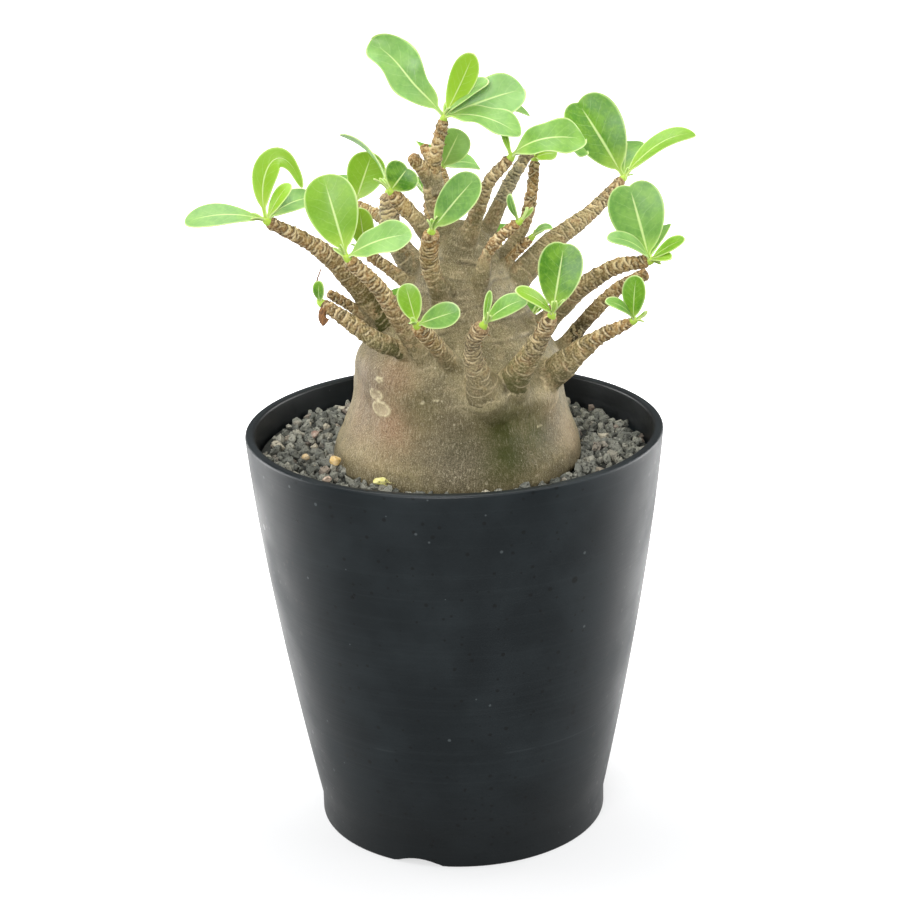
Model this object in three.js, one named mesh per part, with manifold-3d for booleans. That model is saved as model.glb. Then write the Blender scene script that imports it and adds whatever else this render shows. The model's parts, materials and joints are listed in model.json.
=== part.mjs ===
// A potted desert rose: a tapered nursery pot, gravel, a swollen caudex with ringed branches,
// and a cluster of leaves on each branch tip. Millimetres, +Z up, the origin on the ground at
// the pot's axis, the viewer's side at -Y.

import * as THREE from 'three';
import { mergeVertices } from 'three/addons/utils/BufferGeometryUtils.js';
import Module from 'manifold-3d';

// ---- Driving dimensions ----

const GAP = 0.3; // clearance between pieces that touch

const POT_HEIGHT = 150;
const RIM_RADIUS = 75;
const FOOT_RADIUS = 53;
const FOOT_HEIGHT = 8; // the upright band at the base, below the taper
const BELLY_RADIUS = 70.3; // pulls the taper outwards half-way up
const BELLY_HEIGHT = 92;
const POT_WALL = 3;
const RIM_THICKNESS = 3.5;
const RIM_DEPTH = 8; // how far the thicker rim reaches down
const WALL_STEPS = 5;
const FOOT_RING = 4; // width of the ring that the pot stands on
const FLOOR_UNDERSIDE = 4;
const FLOOR_TOP = 7;
const EDGE_ROUND = 1;
const POT_SIDES = 36;
const DRAIN_RADIUS = 5;
const DRAIN_CIRCLE = 30;
const DRAIN_COUNT = 6;
const CUT_DEPTH = 20; // longer than the floor is thick
const NOTCH_WIDTH = 19; // arched gaps in the foot ring
const NOTCH_HEIGHT = 3;
const NOTCH_ANGLES = [-105, 15, 135];

const SOIL_TOP = 141.5; // the mean height of the gravel
const GRAVEL_RELIEF = 1.7; // how far the grains stand above and below it
const GRAVEL_SIDES = 72;
const GRAVEL_RINGS = [67, 63, 59.2, 55.3, 51.5, 47.5, 43];
const SEED = 4271;

// Caudex profile, [radius, height], from the buried foot to the crown.
const CAUDEX_PROFILE = [
  [14, 121], [30, 126], [38, 132], [42, 138], [44, 144], [43, 150], [41, 157], [38.5, 164],
  [37, 170], [35, 176], [31.5, 182], [27.5, 188], [23.5, 195], [19.5, 203], [16.5, 212],
  [14, 221], [10, 230], [4, 235],
];
const CAUDEX_TOP = 235;
const CAUDEX_ROWS = 20;
const CAUDEX_SIDES = 24;
const CAUDEX_LEAN = 4; // how far the crown stands to the right of the foot
const CAUDEX_CENTRE = [1, -1];

const FOLD_RELIEF = 0.8; // low folds down the trunk
const WRINKLE_RELIEF = 0.5; // wrinkles round its neck
const FOLDS_START = [148, 165]; // heights between which the folds grow, above the soil
const WRINKLES_START = [186, 200];

const BRANCH_SIDES = 6;
const RING_PITCH = 5.5; // leaf-scar rings round a branch, a little larger than life
const RING_RELIEF = 0.09; // share of the branch's radius
const SMOOTH_SHARE = 0.25; // the lowest part of a branch has no rings
const ROOT_FLARE = 0.3; // a branch's root is this much thicker, dying out along FLARE_REACH
const FLARE_REACH = 8;
const ROOT_DEPTH = 9; // how deep a branch starts inside what it grows from

const LEAF_THICKNESS = 0.7;
const PETIOLE_SHARE = 0.14;
const PETIOLE_WIDTH = 1.5;
const BLADE_STATIONS = [0, PETIOLE_SHARE, 0.33, 0.54, 0.76, 0.93, 1];
const BLADE_FOLD = 0.18; // how far the edges stand up, as a share of the half width
const SHOOT_HEIGHT = 4;
const SHOOT_RADIUS = 1.9;
const BLADE_FULLNESS = 1.67; // brings the widest part of the outline to the leaf's width

// Each branch: its route from the root to the tip, and its radius at both ends.
const BRANCHES = {
  far_left: {
    radius: [4.5, 2.2],
    route: [[-23, -6, 189], [-32, -13, 205], [-44, -21, 221], [-60, -30, 233]],
  },
  left_front: {
    radius: [3.6, 2.5],
    route: [[-10, -28, 184], [-17, -34, 198], [-24, -40, 212], [-33, -45, 223]],
  },
  left_middle: { radius: [2.6, 2], route: [[-11, -3, 200], [-19, 1, 206], [-28, 5, 212]] },
  left_back: {
    radius: [2.8, 2],
    route: [[-10, 8, 207], [-17, 16, 214], [-23, 25, 220], [-33, 35, 223]],
  },
  neck_left: {
    radius: [3.2, 2.7],
    route: [[-7, -2, 221], [-10, -3, 225], [-16, -4, 232], [-19, -5, 236]],
  },
  neck_grey: {
    radius: [4, 3.2],
    route: [[-12, 6, 202], [-19, 10, 216], [-21, 12, 225], [-21, 14, 231]],
  },
  neck_front: {
    radius: [3.5, 3],
    route: [[-3, -19, 203], [-5, -22, 209], [-7, -27, 219], [-6, -32, 228]],
  },
  leader: { radius: [4.4, 1.9], route: [[2, 5, 217], [-5, 3, 232], [-5, 2, 243], [-1, 0, 260]] },
  leader_stub: { radius: [2.6, 2.1], route: [[-6, 2, 239], [-9, 0, 244], [-12, -2, 248]] },
  leader_knob: { radius: [2.2, 1.7], route: [[-5, 3, 242], [-6, 5, 246], [-8, 7, 250]] },
  upper_centre: {
    radius: [3.5, 2.5],
    route: [[5, -8, 217], [10, -9, 230], [14, -9, 240], [21, -10, 248]],
  },
  upper_right: { radius: [3, 2.1], route: [[12, 4, 217], [15, 5, 223], [22, 6, 237], [30, 8, 249]] },
  upper_back: {
    radius: [2.8, 1.9],
    route: [[18, 10, 207], [27, 15, 220], [30, 19, 231], [31, 22, 240]],
  },
  inner_red: {
    radius: [2.4, 1.8],
    route: [[11, -17, 209], [12, -18, 215], [16, -19, 222], [23, -20, 228]],
  },
  inner_thin: { radius: [2, 1.6], route: [[18, 0, 206], [22, -1, 212], [28, -2, 218]] },
  high_right: { radius: [5.2, 2], route: [[20, 4, 198], [35, 12, 212], [52, 20, 223], [62, 25, 232]] },
  far_right: {
    radius: [4, 2.5],
    route: [[31, -2, 185], [38, -4, 193], [47, -6, 202], [58, -8, 209], [68, -10, 211]],
  },
  front_right: {
    radius: [5.4, 2.6],
    route: [[20, -32, 174], [22, -35, 179], [29, -44, 193], [33, -50, 203]],
  },
  right_bare: {
    radius: [3, 2.4],
    route: [[35, 10, 172], [41, 11, 176], [49, 12, 185], [60, 14, 195], [70, 15, 200]],
  },
  low_right: {
    radius: [4.6, 1.9],
    route: [[29, -15, 169], [34, -18, 173], [45, -23, 184], [52, -27, 190], [61, -30, 195]],
  },
  front_stub: { radius: [5.6, 3], route: [[11, -36, 173], [7, -47, 190], [8, -55, 201]] },
  front_left: { radius: [3.2, 2.7], route: [[0, -32, 182], [-5, -40, 191], [-11, -50, 201]] },
  low_left: { radius: [3.4, 2.6], route: [[-28, -18, 187], [-35, -24, 196], [-43, -30, 204]] },
  low_left_bare: { radius: [2.2, 1.8], route: [[-26, -8, 189], [-34, -10, 197], [-42, -12, 203]] },
  left_knob: { radius: [2.9, 2.5], route: [[-16, -24, 185], [-21, -31, 190], [-26, -38, 195]] },
  crown_back: { radius: [3.2, 2], route: [[1, 9, 217], [-1, 20, 228], [-2, 30, 236]] },
  back_left: { radius: [4.4, 2.5], route: [[-18, 27, 172], [-22, 40, 174], [-24, 52, 177]] },
  back_centre: { radius: [4.6, 2.4], route: [[4, 32, 180], [6, 44, 186], [7, 55, 191]] },
  back_right: { radius: [4.2, 2.3], route: [[22, 26, 168], [27, 38, 170], [30, 49, 174]] },
  back_upper: { radius: [3.4, 2.2], route: [[-2, 17, 204], [-5, 29, 214], [-7, 40, 222]] },
  back_inner: { radius: [3.6, 2.2], route: [[11, 22, 189], [16, 34, 197], [18, 45, 204]] },
  back_bare: { radius: [3.2, 2.3], route: [[-24, 14, 184], [-30, 23, 190], [-33, 31, 196]] },
};

// Each cluster's leaves, measured from the branch tip: `to` is the leaf's own tip, `wide` its
// width, `face` the way that its upper side looks, and `bow` how far it arches towards that side.
const LEAVES = {
  far_left: [
    { to: [-28, -6, 2], wide: 12, face: [0, -1, 2], bow: 3 },
    { to: [10, 0, 16], wide: 8, face: [-2, -3, 1], over: [5, 1, 33] },
    { to: [16, 12, 5], wide: 12, face: [0, -1, 2], bow: 3 },
    { to: [7, 5, 12], wide: 5, face: [0, -1, 1], bow: 2 },
  ],
  left_front: [
    { to: [-8, 5, 28], wide: 17, face: [0, -3, 1], bow: 1 },
    { to: [21, -7, 10], wide: 12, face: [-1, -2, 2], bow: 3 },
  ],
  left_middle: [
    { to: [-3, -3, 18], wide: 9, face: [1, -2, 0.5], bow: 1 },
  ],
  left_back: [
    { to: [6, 3, 19], wide: 14, face: [0, -1, 0], bow: -1 },
    { to: [-9, 15, 8], wide: 11, face: [1, -1, 3], bow: 2 },
  ],
  neck_grey: [
    { to: [-17, 12, 20], wide: 8, face: [4, 1, 3], bow: 4 },
  ],
  neck_left: [
    { to: [6, -1, 9], wide: 12, face: [0, -1, 0.3], notch: 1 },
  ],
  neck_front: [
    { to: [16, -6, 21], wide: 12, face: [-1, -3, 1], bow: 1 },
  ],
  leader: [
    { to: [-24, 4, 28], wide: 16, face: [1, -3, 1], bow: 2, wave: 1.2 },
    { to: [11, -6, 24], wide: 10, face: [-1, -2, 0], bow: -1 },
    { to: [28, 2, 9], wide: 15, face: [0, -2, 1], bow: 3, wave: 0.8 },
    { to: [26, -14, -3], wide: 12, face: [0, -1, 2], bow: 4, wave: 0.6 },
    { to: [16, -3, 14], wide: 9, face: [-1, -1, 2], bow: 2 },
    { to: [30, 12, -1], wide: 9, face: [0, 1, 2], bow: 6 },
  ],
  crown_back: [
    { to: [7, 0, 14], wide: 12, face: [0, -1, 0], bow: 1 },
    { to: [13, 8, 0], wide: 11, face: [0, -1, 2], bow: 2 },
    { to: [-6, 17, 6], wide: 12, face: [0, -1, 3], bow: 3 },
  ],
  upper_centre: [
    { to: [-2, 0, 11], wide: 2.4, face: [0, -1, 0], bow: 0 },
    { to: [26, -4, 7], wide: 13, face: [-1, -2, 2], bow: 6 },
  ],
  upper_right: [
    { to: [19, 6, -4], wide: 12, face: [0, -1, 2], bow: 2, wave: 0.8 },
  ],
  upper_back: [
    { to: [8, -2, 3], wide: 9, face: [0, -1, 2], bow: 1 },
    { to: [6, 17, 7], wide: 11, face: [0, -1, 2], bow: 3 },
  ],
  inner_red: [
    { to: [-2, -2, 11], wide: 3.6, face: [-1, -1, 0], bow: 1 },
  ],
  inner_thin: [
    { to: [8, -1, 4], wide: 3.6, face: [0, -1, 2], bow: 2 },
  ],
  high_right: [
    { to: [-16, 7, 29], wide: 23, face: [0.3, -1, 0.3], bow: 1, notch: 2 },
    { to: [27, 5, 15], wide: 11, face: [0, -1, 3], bow: 5 },
    { to: [4, 20, 10], wide: 13, face: [0, -1, 2], bow: 3 },
  ],
  far_right: [
    { to: [-6, 4, 27], wide: 18, face: [0, -1, 0.3], bow: 1, notch: 2 },
    { to: [-14, -6, 10], wide: 8, face: [1, -1, 2], bow: 3 },
    { to: [13, -6, 9], wide: 7, face: [-1, -1, 2], bow: 1 },
    { to: [8, 15, 9], wide: 10, face: [-1, -1, 1], bow: 2 },
    { to: [8, -9, 3], wide: 5, face: [-1, -1, 3], bow: 1 },
  ],
  front_right: [
    { to: [5, 4, 25], wide: 15, face: [0, -1, 0.2], bow: 1, notch: 0.8 },
    { to: [-12, -12, 13], wide: 6, face: [1, -1, 1], bow: 2 },
  ],
  low_right: [
    { to: [2, -2, 17], wide: 9, face: [-1, -2, 0], bow: 1 },
    { to: [-9, -6, 9], wide: 6, face: [1, -1, 2], bow: 2 },
  ],
  front_stub: [
    { to: [17, -1, 10], wide: 10, face: [0, -1, 2], bow: 2 },
    { to: [5, 1, 13], wide: 2.6, face: [0, -1, 0], bow: 0 },
  ],
  front_left: [
    { to: [-4, 0, 15], wide: 8, face: [0, -1, 0.5], bow: 1 },
    { to: [14, -6, 7], wide: 8.5, face: [0, -2, 1], bow: 1 },
  ],
  low_left: [
    { to: [-1, -2, 9], wide: 4.5, face: [-1, -2, 0], bow: 1 },
  ],
  back_left: [
    { to: [-7, 16, 2], wide: 12, face: [0, 0, 1], bow: 3 },
    { to: [9, 15, 6], wide: 11, face: [0, -1, 3], bow: 3 },
    { to: [-3, 11, 8], wide: 8, face: [0, 1, 0], bow: -1 },
  ],
  back_centre: [
    { to: [1, 17, 6], wide: 13, face: [0, -1, 3], bow: 3 },
    { to: [11, 9, 8], wide: 10, face: [-1, 0, 2], bow: 2 },
    { to: [-10, 9, 7], wide: 10, face: [1, 0, 2], bow: 2 },
  ],
  back_right: [
    { to: [5, 18, 1], wide: 12, face: [0, -1, 3], bow: 3 },
    { to: [-9, 13, 6], wide: 10, face: [1, 0, 2], bow: 2 },
    { to: [11, 9, 5], wide: 9, face: [-1, 0, 2], bow: 2 },
  ],
  back_inner: [
    { to: [5, 15, 4], wide: 11, face: [0, -1, 3], bow: 3 },
    { to: [-9, 12, 5], wide: 9, face: [1, -1, 2], bow: 2 },
  ],
  back_upper: [
    { to: [2, 18, 5], wide: 12, face: [0, -1, 3], bow: 3 },
    { to: [-9, 10, 7], wide: 9, face: [1, -1, 2], bow: 2 },
  ],
};

// Loose tan and yellow stones on the gravel: place, and half sizes.
const LOOSE_STONES = [
  { at: [-42.3, -18.8, 143.7], size: [2.3, 2.3, 2.4], tint: 0xc9b36a },
  { at: [-25.8, -39.2, 143.2], size: [2.8, 1.8, 1.7], tint: 0xb9a94f },
  { at: [-52.9, -12, 143.2], size: [1.6, 1.5, 1.5], tint: 0xb09a82 },
  { at: [-44.4, -35.9, 143], size: [1.8, 1.5, 1.5], tint: 0xb59c8a },
  { at: [-50.8, 12.4, 143.3], size: [1.6, 2, 1.8], tint: 0x9a7868 },
];

const FINISH = {
  pot: { color: 0x22282a, roughness: 0.45, metalness: 0 },
  soil: { color: 0x4a4744, roughness: 0.95, metalness: 0 },
  bark: { color: 0x80705c, roughness: 0.75, metalness: 0 },
  leaf: { color: 0x6fae3c, roughness: 0.4, metalness: 0 },
};

// ---- Solids ----

const wasm = await Module();
wasm.setup();

// The same body with its positions alone, and each corner held once.
function welded(geometry) {
  const bare = geometry.clone();
  bare.deleteAttribute('normal');
  bare.deleteAttribute('uv');
  return mergeVertices(bare, 1e-4);
}

function toSolid(geometry) {
  const merged = welded(geometry);
  return new wasm.Manifold(new wasm.Mesh({
    numProp: 3,
    vertProperties: new Float32Array(merged.attributes.position.array),
    triVerts: new Uint32Array(merged.index.array),
  }));
}

function toGeometry(solid) {
  const mesh = solid.getMesh();
  const geometry = new THREE.BufferGeometry();
  geometry.setAttribute('position', new THREE.BufferAttribute(mesh.vertProperties, 3));
  geometry.setIndex(new THREE.BufferAttribute(mesh.triVerts, 1));
  geometry.computeVertexNormals();
  return geometry;
}

function join(solids) {
  return solids.reduce((whole, next) => whole.add(next));
}

// The largest piece of a solid, without the loose scraps that a cut can leave.
function largestPiece(solid) {
  const pieces = solid.decompose();
  return pieces.reduce((best, next) => (next.volume() > best.volume() ? next : best));
}

// A closed body through rings of points; each ring runs anticlockwise seen from the far end.
function loft(rings) {
  const sides = rings[0].length;
  const last = rings.length - 1;
  const points = rings.flat();
  const faces = [];
  for (let row = 0; row < last; row += 1) {
    for (let side = 0; side < sides; side += 1) {
      const next = (side + 1) % sides;
      const a = row * sides + side;
      const b = row * sides + next;
      faces.push(a, b, a + sides, b, b + sides, a + sides);
    }
  }
  const start = points.length;
  const end = start + 1;
  points.push(centreOf(rings[0]), centreOf(rings[last]));
  for (let side = 0; side < sides; side += 1) {
    const next = (side + 1) % sides;
    faces.push(start, next, side);
    faces.push(end, last * sides + side, last * sides + next);
  }
  const geometry = new THREE.BufferGeometry().setFromPoints(points);
  geometry.setIndex(faces);
  return geometry;
}

function centreOf(ring) {
  const sum = ring.reduce((total, point) => total.add(point), new THREE.Vector3());
  return sum.divideScalar(ring.length);
}

function vector(list) {
  return new THREE.Vector3(...list);
}

// Seeded draws between 0 and 1.
function makeRandom(seed) {
  let state = seed;
  return () => {
    state = (state + 0x6d2b79f5) | 0;
    let mixed = Math.imul(state ^ (state >>> 15), 1 | state);
    mixed = (mixed + Math.imul(mixed ^ (mixed >>> 7), 61 | mixed)) ^ mixed;
    return ((mixed ^ (mixed >>> 14)) >>> 0) / 4294967296;
  };
}

// ---- Pot ----

const potTaper = new THREE.QuadraticBezierCurve(
  new THREE.Vector2(FOOT_RADIUS, FOOT_HEIGHT),
  new THREE.Vector2(BELLY_RADIUS, BELLY_HEIGHT),
  new THREE.Vector2(RIM_RADIUS, POT_HEIGHT - EDGE_ROUND),
);

function lathe(profile, sides) {
  const points = profile.map(([radius, height]) => new THREE.Vector2(radius, height));
  return new THREE.LatheGeometry(points, sides).rotateX(Math.PI / 2);
}

// Wall points from low to high, moved in by an inset, between two heights.
function wallPoints(inset, low, high) {
  return potTaper.getPoints(WALL_STEPS)
    .map((point) => [point.x - inset, point.y])
    .filter(([, height]) => height > low && height < high);
}

// The pot's outside radius at a height.
function wallRadius(height) {
  const points = potTaper.getPoints(60);
  const above = Math.max(1, points.findIndex((point) => point.y >= height));
  const [low, high] = [points[above - 1], points[above]];
  return low.x + ((high.x - low.x) * (height - low.y)) / (high.y - low.y);
}

function potBody() {
  const innerRim = RIM_RADIUS - RIM_THICKNESS;
  const profile = [
    [0, FLOOR_UNDERSIDE],
    [FOOT_RADIUS - FOOT_RING, FLOOR_UNDERSIDE],
    [FOOT_RADIUS - FOOT_RING, 0],
    [FOOT_RADIUS - EDGE_ROUND, 0],
    [FOOT_RADIUS, EDGE_ROUND],
    ...wallPoints(0, 0, POT_HEIGHT - EDGE_ROUND),
    [RIM_RADIUS, POT_HEIGHT - EDGE_ROUND],
    [RIM_RADIUS - EDGE_ROUND, POT_HEIGHT],
    [innerRim + EDGE_ROUND, POT_HEIGHT],
    [innerRim, POT_HEIGHT - EDGE_ROUND],
    ...wallPoints(POT_WALL, FLOOR_TOP + EDGE_ROUND * 2, POT_HEIGHT - RIM_DEPTH).reverse(),
    [FOOT_RADIUS - POT_WALL, FLOOR_TOP],
    [0, FLOOR_TOP],
  ];
  return toSolid(lathe(profile, POT_SIDES));
}

function drainHoles() {
  const hole = (x, y) => {
    const cylinder = new THREE.CylinderGeometry(DRAIN_RADIUS, DRAIN_RADIUS, CUT_DEPTH, 10);
    return toSolid(cylinder.rotateX(Math.PI / 2).translate(x, y, 0));
  };
  const holes = [hole(0, 0)];
  for (let index = 0; index < DRAIN_COUNT; index += 1) {
    const angle = ((index + 0.5) / DRAIN_COUNT) * 2 * Math.PI;
    holes.push(hole(DRAIN_CIRCLE * Math.cos(angle), DRAIN_CIRCLE * Math.sin(angle)));
  }
  return join(holes);
}

// Arched cuts through the foot ring, each the top of a cylinder that lies along a radius.
function footNotches() {
  const halfWidth = NOTCH_WIDTH / 2;
  const arch = (halfWidth ** 2 + NOTCH_HEIGHT ** 2) / (2 * NOTCH_HEIGHT);
  return join(NOTCH_ANGLES.map((degrees) => {
    const cylinder = new THREE.CylinderGeometry(arch, arch, FOOT_RING * 3, 24);
    cylinder.translate(0, FOOT_RADIUS - FOOT_RING / 2, NOTCH_HEIGHT - arch);
    cylinder.rotateZ(THREE.MathUtils.degToRad(degrees - 90));
    return toSolid(cylinder);
  }));
}

// ---- Caudex ----

const caudexCurve = new THREE.SplineCurve(
  CAUDEX_PROFILE.map(([radius, height]) => new THREE.Vector2(radius, height)),
);

// Low folds round the trunk, and wrinkles round its neck; still at the soil line.
function caudexRelief(angle, height) {
  const aboveSoil = THREE.MathUtils.smoothstep(height, ...FOLDS_START);
  const onNeck = THREE.MathUtils.smoothstep(height, ...WRINKLES_START);
  const folds = Math.sin(3 * angle + 0.6) + 0.6 * Math.sin(7 * angle + height / 14);
  const wrinkles = Math.sin(height * 1.1 + 0.7 * Math.sin(angle * 2));
  return aboveSoil * FOLD_RELIEF * folds + onNeck * WRINKLE_RELIEF * wrinkles;
}

function caudexTrunk(clearance) {
  const rings = [];
  for (let row = 0; row <= CAUDEX_ROWS; row += 1) {
    const { x: radius, y: height } = caudexCurve.getPoint(row / CAUDEX_ROWS);
    const lean = CAUDEX_LEAN * Math.max(height - SOIL_TOP, 0) / (CAUDEX_TOP - SOIL_TOP);
    const ring = [];
    for (let side = 0; side < CAUDEX_SIDES; side += 1) {
      const angle = (side / CAUDEX_SIDES) * 2 * Math.PI;
      const reach = radius + caudexRelief(angle, height) + clearance;
      ring.push(new THREE.Vector3(
        CAUDEX_CENTRE[0] + lean + reach * Math.cos(angle),
        CAUDEX_CENTRE[1] + reach * Math.sin(angle),
        height - (row === 0 ? clearance : 0),
      ));
    }
    rings.push(ring);
  }
  return toSolid(loft(rings));
}

// Distances along a branch where its section is drawn: bare at the root, then ridge and groove.
function branchStations(length) {
  const stations = [{ at: -ROOT_DEPTH, relief: 0 }, { at: 0, relief: 0 }];
  const first = length * SMOOTH_SHARE;
  stations.push({ at: first * 0.55, relief: 0 });
  const rings = Math.max(2, Math.round((length - first) / RING_PITCH));
  const pitch = (length - first) / rings;
  for (let ring = 0; ring < rings; ring += 1) {
    stations.push({ at: first + ring * pitch, relief: -RING_RELIEF });
    stations.push({ at: first + (ring + 0.6) * pitch, relief: RING_RELIEF });
  }
  stations.push({ at: length, relief: 0 });
  return stations;
}

function branchCurve(branch) {
  return new THREE.CatmullRomCurve3(branch.route.map(vector), false, 'centripetal');
}

function branchBody(branch) {
  const curve = branchCurve(branch);
  const length = curve.getLength();
  const [rootRadius, tipRadius] = branch.radius;
  const rootDirection = curve.getTangentAt(0);
  let across = new THREE.Vector3(0.3, -1, 0.2);
  const rings = branchStations(length).map(({ at, relief }) => {
    const share = Math.max(at, 0) / length;
    const centre = curve.getPointAt(share);
    centre.addScaledVector(rootDirection, Math.min(at, 0));
    const tangent = curve.getTangentAt(share);
    across = across.clone().addScaledVector(tangent, -across.dot(tangent)).normalize();
    const along = new THREE.Vector3().crossVectors(tangent, across);
    const flare = ROOT_FLARE * Math.max(0, 1 - Math.max(at, 0) / FLARE_REACH);
    const radius = THREE.MathUtils.lerp(rootRadius, tipRadius, share) * (1 + relief + flare);
    return circle(centre, across, along, radius, BRANCH_SIDES);
  });
  return toSolid(loft(rings));
}

function circle(centre, across, along, radius, sides) {
  return Array.from({ length: sides }, (_, side) => {
    const angle = (side / sides) * 2 * Math.PI;
    return centre.clone()
      .addScaledVector(across, radius * Math.cos(angle))
      .addScaledVector(along, radius * Math.sin(angle));
  });
}

function caudexBody() {
  const branches = Object.values(BRANCHES).map(branchBody);
  return largestPiece(join([caudexTrunk(0), ...branches]));
}

// ---- Gravel bed ----

// An angular grain: an eight-sided body with its corners drawn in and out.
function stoneBody(random, at, size) {
  const grain = welded(new THREE.OctahedronGeometry(1, 0));
  const corners = grain.attributes.position;
  for (let index = 0; index < corners.count; index += 1) {
    const stretch = 0.85 + 0.35 * random();
    corners.setXYZ(
      index,
      corners.getX(index) * stretch,
      corners.getY(index) * stretch,
      corners.getZ(index) * stretch,
    );
  }
  const turn = new THREE.Euler(random() * 3, random() * 3, random() * 6);
  grain.applyMatrix4(new THREE.Matrix4().makeRotationFromEuler(turn));
  grain.scale(...size);
  grain.translate(...at);
  return toSolid(grain);
}

// The gravel: a filled body whose top is broken ground, one facet or two to a grain.
function gravelBed() {
  const random = makeRandom(SEED);
  const inset = POT_WALL + GAP * 3; // clear of the wall's flats too
  const ring = (place) => Array.from({ length: GRAVEL_SIDES }, (_, index) => {
    const [side, radius, height] = place(index);
    const angle = (side / GRAVEL_SIDES) * 2 * Math.PI;
    return new THREE.Vector3(radius * Math.cos(angle), radius * Math.sin(angle), height);
  });
  const level = (radius, height) => ring((side) => [side, radius, height]);
  const wall = [FLOOR_TOP + GAP, 45, 95, SOIL_TOP].map((height) => (
    level(wallRadius(height) - inset, height)
  ));
  const grains = GRAVEL_RINGS.map((radius, row) => ring((index) => [
    index + 0.5 * (row % 2) + 0.4 * (random() - 0.5),
    radius + 1.2 * (random() - 0.5),
    SOIL_TOP + GRAVEL_RELIEF * 2 * (random() - 0.5),
  ]));
  const underCaudex = level(FOOT_RADIUS / 3, SOIL_TOP - 2 * GRAVEL_RELIEF);
  return toSolid(loft([...wall, ...grains, underCaudex]));
}

function looseStone(stone, clearance) {
  const random = makeRandom(SEED + Math.round(stone.at[0] * stone.at[1]));
  return stoneBody(random, stone.at, stone.size.map((half) => half + clearance));
}

// The bed with a plain hole for the caudex's foot, and a nest under each loose stone.
function soilBody() {
  const nests = LOOSE_STONES.map((stone) => looseStone(stone, GAP * 1.8));
  return largestPiece(gravelBed().subtract(join([caudexTrunk(GAP + 0.1), ...nests])));
}

// ---- Leaves ----

// Half width of a leaf at a share of its length: a petiole, then a blade widest past its middle.
function leafHalfWidth(share, wide) {
  const petiole = PETIOLE_WIDTH / 2;
  if (share <= PETIOLE_SHARE) return petiole;
  const along = Math.min((share - PETIOLE_SHARE) / (1 - PETIOLE_SHARE), 0.99);
  const blade = BLADE_FULLNESS * along ** 0.85 * Math.sqrt(1 - along ** 3);
  return Math.max(petiole, (wide / 2) * blade);
}

function leafCurve(leaf, start) {
  const tip = vector(leaf.to);
  const arch = vector(leaf.face).normalize().multiplyScalar(2 * (leaf.bow ?? 0));
  const middle = leaf.over ? vector(leaf.over) : start.clone().lerp(tip, 0.5).add(arch);
  return new THREE.QuadraticBezierCurve3(start, middle, tip);
}

// A thin curved blade: left edge, midrib and right edge at each station, the same on both faces.
function leafBlade(leaf, start) {
  const curve = leafCurve(leaf, start);
  const face = vector(leaf.face).normalize();
  const points = [];
  BLADE_STATIONS.forEach((share, station) => {
    const tangent = curve.getTangentAt(share);
    const up = face.clone().addScaledVector(tangent, -face.dot(tangent)).normalize();
    const side = new THREE.Vector3().crossVectors(up, tangent);
    const half = leafHalfWidth(share, leaf.wide);
    const fold = BLADE_FOLD * half;
    const wave = share > PETIOLE_SHARE ? (leaf.wave ?? 0) * (-1) ** station : 0;
    const middle = curve.getPointAt(share);
    if (share === 1) middle.addScaledVector(tangent, -(leaf.notch ?? 0));
    const left = curve.getPointAt(share).addScaledVector(side, half).addScaledVector(up, fold + wave);
    const right = curve.getPointAt(share).addScaledVector(side, -half).addScaledVector(up, fold - wave);
    for (const lift of [LEAF_THICKNESS / 2, -LEAF_THICKNESS / 2]) {
      for (const point of [left, middle, right]) {
        points.push(point.clone().addScaledVector(up, lift));
      }
    }
  });
  const geometry = new THREE.BufferGeometry().setFromPoints(points);
  geometry.setIndex(bladeFaces(BLADE_STATIONS.length));
  return geometry;
}

// Corners of one station: 0 left, 1 middle, 2 right on the upper face, 3, 4, 5 below them.
function bladeFaces(stations) {
  const faces = [];
  const quad = (a, b, c, d) => faces.push(a, b, c, a, c, d);
  for (let station = 0; station < stations - 1; station += 1) {
    const near = station * 6;
    const far = near + 6;
    quad(near, near + 1, far + 1, far);
    quad(near + 1, near + 2, far + 2, far + 1);
    quad(far + 3, far + 4, near + 4, near + 3);
    quad(far + 4, far + 5, near + 5, near + 4);
    quad(near, far, far + 3, near + 3);
    quad(near + 2, near + 5, far + 5, far + 2);
  }
  const end = (stations - 1) * 6;
  quad(0, 3, 4, 1);
  quad(1, 4, 5, 2);
  quad(end, end + 1, end + 4, end + 3);
  quad(end + 1, end + 2, end + 5, end + 4);
  return faces;
}

// A green bud that stands on the branch tip and holds the petioles.
function shootBody(origin, direction, radius) {
  const across = new THREE.Vector3(1, 0.3, 0.2);
  across.addScaledVector(direction, -across.dot(direction)).normalize();
  const along = new THREE.Vector3().crossVectors(direction, across);
  const ring = (height, reach) => {
    const centre = origin.clone().addScaledVector(direction, height);
    return circle(centre, across, along, reach, 5);
  };
  const bud = [ring(GAP, radius), ring(SHOOT_HEIGHT / 2, radius), ring(SHOOT_HEIGHT, radius / 2)];
  return toSolid(loft(bud));
}

function leafCluster(name) {
  const branch = BRANCHES[name];
  const curve = branchCurve(branch);
  const tip = curve.getPointAt(1);
  const direction = curve.getTangentAt(1);
  const shoot = shootBody(tip, direction, Math.min(branch.radius[1] * 0.85, SHOOT_RADIUS));
  const start = direction.clone().multiplyScalar(SHOOT_HEIGHT * 0.45);
  const blades = LEAVES[name].map((leaf) => (
    toSolid(leafBlade(leaf, start).translate(tip.x, tip.y, tip.z))
  ));
  return largestPiece(join([shoot, ...blades]));
}

// ---- Assembly ----

const plant = new THREE.Group();

function addPiece(name, solid, finish) {
  const mesh = new THREE.Mesh(toGeometry(solid), new THREE.MeshStandardMaterial(finish));
  mesh.name = name;
  plant.add(mesh);
}

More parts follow.
